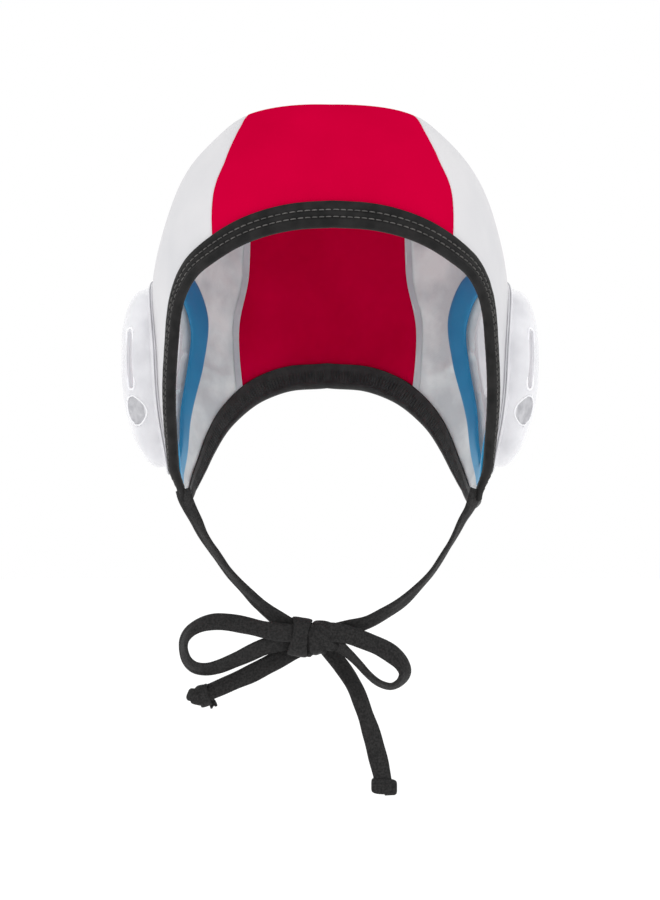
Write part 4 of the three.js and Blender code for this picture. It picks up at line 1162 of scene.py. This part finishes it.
def ear_guards():
    """Both guards with their slots, and the raised rims round the slots and flats."""
    shell = mesh_piece("ear_guard_right_shell", [(guard_rings(), True)], "clear_guard", ["ear_guard_right"])
    shape = bmesh.new()
    shape.from_mesh(shell.data)
    bmesh.ops.remove_doubles(shape, verts=shape.verts, dist=0.02 * MM)
    shape.to_mesh(shell.data)
    tree = BVHTree.FromBMesh(shape)
    shape.free()

    def on_shell(ring, outward):
        found = []
        for point in ring:
            hit = tree.ray_cast(Vector((point + outward * 30) * MM), Vector(-outward))
            if hit[0] is not None:
                found.append(np.array(hit[0]) / MM + np.array(hit[1]) * 0.1)
        return np.array(found)

    rims, cutters = [], []
    for place in (-1, 0, 1):
        outline, outward = slot_outline(place, 0)
        cutters.append((np.stack([outline + outward * reach for reach in GUARD_SLOT_CUT]), False))
        around, _ = slot_outline(place, GUARD_RIM_RADIUS * 0.7)
        rims.append(hoop(on_shell(around, outward), GUARD_RIM_RADIUS))
    flats = dimple_axes()
    for centre, outward in flats:
        across = unit(np.cross(outward, (0, 0, 1.0)))
        turn = full_turn(56)[:, None]
        spokes = across * np.cos(turn) + np.cross(outward, across) * np.sin(turn)
        circle = centre + spokes * GUARD_DIMPLE_RADIUS
        rims.append(hoop(on_shell(circle, outward), GUARD_RIM_RADIUS * 0.75))

    cutter = mesh_piece("slot_cutter", cutters, "clear_guard")
    carve = shell.modifiers.new("carve", "BOOLEAN")
    carve.operation = "DIFFERENCE"
    carve.object = cutter
    carve.solver = "EXACT"
    carved = bpy.data.meshes.new_from_object(shell.evaluated_get(bpy.context.evaluated_depsgraph_get()))
    shell.modifiers.clear()
    bpy.data.objects.remove(cutter)
    shell.data = carved
    carved.materials.append(LOOKS["guard_flat"])
    middles = np.array([face.center for face in carved.polygons]) / MM
    facing = np.array([face.normal for face in carved.polygons])
    for centre, outward in flats:
        height, radius = from_axis(middles, centre, outward)
        flat = (radius < GUARD_DIMPLE_RADIUS) & (facing @ outward > 0.5) & (np.abs(height) < GUARD_WALL)
        for k in np.flatnonzero(flat):
            carved.polygons[k].material_index = 1
    carved.set_sharp_from_angle(angle=math.radians(SHARP_ANGLE))

    mirrored = carved.copy()
    mirrored.transform(Matrix.Scale(-1, 4, (1, 0, 0)))
    mirrored.flip_normals()
    placed("ear_guard_left_shell", mirrored, ["ear_guard_left"])
    # Painted shade: a thin dark tube along the brim stands for the shadow line at the flange's edge
    brim = lifted(ear_point(np.arange(220) / 220, GUARD_OVERLAP), GUARD_LIFT + GUARD_WALL / 2)
    edge = hoop(brim, GUARD_EDGE_RADIUS)
    for name, mirror in (("right", False), ("left", True)):
        mesh_piece(f"ear_guard_{name}_rims", rims, "guard_rim", mirror=mirror)
        mesh_piece(f"ear_guard_{name}_edge", [edge], "guard_shadow_line", mirror=mirror)


# Tapes and bow

def tape_section():
    """Across and through the tape: a flat folded band with a shallow furrow along one side."""
    across, through = flat_section(40, TAPE_WIDTH, TAPE_WALL, (0.5, 0.55))
    through = through - 0.28 * peak(across - 1.7, 0.4) * np.sign(through)
    return across, through + 0.35 * (across / (TAPE_WIDTH / 2)) ** 2


def tape(name):
    """The piece and the line that it follows, in metres."""
    route = np.array(TAPE_ROUTES[name], float)
    length = travelled(spline(route[:, :3], np.linspace(0, 1, 400)))[-1]
    count = int(length / TAPE_STEP)
    t = evenly(route[:, :3], np.linspace(0, 1, count))
    line = spline(route[:, :3], t)
    turn = np.radians(np.interp(t * (len(route) - 1), np.arange(len(route)), route[:, 3]))[:, None]
    along = unit(np.gradient(line, axis=0))
    flat = unit(np.cross((0, 1, 0), along))
    deep = unit(np.cross(along, flat))
    wide = flat * np.cos(turn) + deep * np.sin(turn)
    thick = unit(np.cross(along, wide))
    across, through = tape_section()
    s = np.linspace(0, length, count)[:, None]
    uneven = 1 + 0.035 * np.sin(s / 5.5 + len(name)) + 0.02 * np.sin(s / 2.3)
    ruffle = 0.12 * np.sin(s / 3.1 + across * 0.8)
    rings = (
        line[:, None]
        + wide[:, None] * (across * uneven)[..., None]
        + thick[:, None] * (through + ruffle)[..., None]
    )
    return mesh_piece(name + "_band", [(rings, False)], "black_tape", [name]), line * MM


def lump(centre, size, folds, count=56):
    """A tied lump: a round form with furrows. Each fold is a plane's two slopes, its place and its depth."""
    polar = np.linspace(0.03, math.pi - 0.03, count)[:, None]
    round_ = np.linspace(0, 2 * math.pi, 2 * count, endpoint=False)[None]
    x = np.sin(polar) * np.cos(round_)
    y = np.sin(polar) * np.sin(round_)
    z = np.cos(polar) + np.zeros_like(x)
    swell = 1 + 0.04 * np.sin(3 * x + 5 * z) + 0.03 * np.sin(7 * y + 4 * x)
    for slope_x, slope_z, place, depth in folds:
        swell = swell - depth * peak(slope_x * x + slope_z * z - place, 0.11)
    return np.stack([x, y, z], -1) * np.array(size) / 2 * swell[..., None] + np.array(centre), False


def wrap_band(centre, half_depth, half_height, tilt, width, wall):
    """A turn of tape round a knot."""
    turn = full_turn(90)
    lean = math.radians(tilt)
    axis = np.array([math.cos(lean), 0, math.sin(lean)])
    rise = np.array([-math.sin(lean), 0, math.cos(lean)])
    line = (
        np.array(centre)
        + np.array([0, 1, 0]) * (half_depth * np.cos(turn))[:, None]
        + rise * (half_height * np.sin(turn))[:, None]
    )
    outward = unit(line - np.array(centre))
    across, through = flat_section(28, width, wall, (0.6, 0.7))
    through = through - 0.3 * peak(across - 0.6, 0.5) * (through > 0)
    pinch = 1 - 0.16 * np.cos(turn * 2 + 0.5)[:, None]
    rings = line[:, None] + axis * (across * pinch)[..., None] + outward[:, None] * through[:, None]
    return rings, True


def bow_knot():
    """The knot, the turn of tape round it and a small nub below."""
    folds = [(0.9, 0.5, -0.05, 0.16), (0.8, 0.7, 0.45, 0.14), (0.9, -0.5, 0.62, 0.1), (1, 0.2, -0.55, 0.12)]
    bodies = [
        lump(KNOT_CENTRE, KNOT_SIZE, folds),
        wrap_band(*KNOT_WRAP),
        lump(KNOT_NUB_CENTRE, KNOT_NUB_SIZE, [(0, 1, 0.1, 0.1)], 20),
    ]
    return mesh_piece("bow_knot_turns", bodies, "black_tape", ["bow_knot"])


def tail_ends():
    """The knot and frayed threads of the short tail, and the turned-up end of the long one."""
    folds = [(0.8, 0.6, 0.1, 0.14), (0.9, -0.5, -0.4, 0.12), (1, 0.1, 0.6, 0.1)]
    centre = np.array(TAIL_KNOT_CENTRE)
    bodies = [lump(TAIL_KNOT_CENTRE, TAIL_KNOT_SIZE, folds, 40), wrap_band(*TAIL_KNOT_WRAP)]
    knot = mesh_piece("tail_knot_left_turns", bodies, "black_tape", ["tail_knot_left"])
    threads = []
    share = np.linspace(0, 1, 9)[:, None]
    for k in range(FRAYED_THREADS):
        start = centre + (3.4 + 0.25 * k, 0.5 * math.sin(2.1 * k), -2.6 + 0.12 * k)
        reach = np.array([
            1.6 + 0.7 * math.sin(1.3 * k), 0.7 * math.cos(2.7 * k), -2.6 - 0.9 * math.cos(1.9 * k),
        ])
        bend = np.array([0.8 * math.sin(3.3 * k), 0.5, 0.6 * math.cos(k)])
        line = start + reach * share + bend * share * (1 - share) * 3
        threads.append((tube(line, FRAYED_RADIUS, 6), False))
    frayed = mesh_piece("tail_knot_left_threads", threads, "black_tape")

    width, wall, height = TAIL_FOLD_SIZE
    x, y = flat_section(48, width, wall, (0.45, 0.6))
    level = np.linspace(-1, 1, 26)
    pinch = (1 - np.abs(level) ** 5) ** 0.2 * 0.94 + 0.06
    crease = 1 - 0.16 * peak(level - 0.35, 0.12) - 0.1 * peak(level + 0.45, 0.1)
    rings = np.stack([
        x * pinch[:, None],
        y * (pinch * crease)[:, None] + 0.3 * np.sin(x / 2.2),
        height / 2 * level[:, None] + 0.35 * np.sin(x / 3) - TAIL_FOLD_SLANT * x,
    ], -1) + np.array(TAIL_FOLD_CENTRE)
    fold = mesh_piece("tail_fold_right_end", [(rings, False)], "black_tape", ["tail_fold_right"])
    return knot, frayed, fold


def bow():
    """The knots, the ends and all tapes."""
    knot = bow_knot()
    tail_knot, frayed, fold = tail_ends()
    cords = [
        # name, length, far end, pieces on it
        ("tie_left", 0.091, "knot", [knot]),
        ("tie_right", 0.098, "knot", []),
        ("bow_loop_left", 0.134, "object", []),
        ("bow_loop_right", 0.087, "object", []),
        ("tail_left", 0.057, "knot", [tail_knot, frayed]),
        ("tail_right", 0.073, "knot", [fold]),
    ]
    for name, length, far_end, pieces in cords:
        band, line = tape(name)


make_camera()
make_lights()
make_floor()
bow()
centre = centre_panel()
for side, mirror in (("left", True), ("right", False)):
    panel = side_panel("side_panel_" + side, mirror)
    allowance = seam_tape("seam_tape_" + side, mirror)
    ear_ring("ear_ring_" + side, mirror)
face_binding()
nape_binding()
ear_guards()
scene.view_settings.view_transform = "Standard"
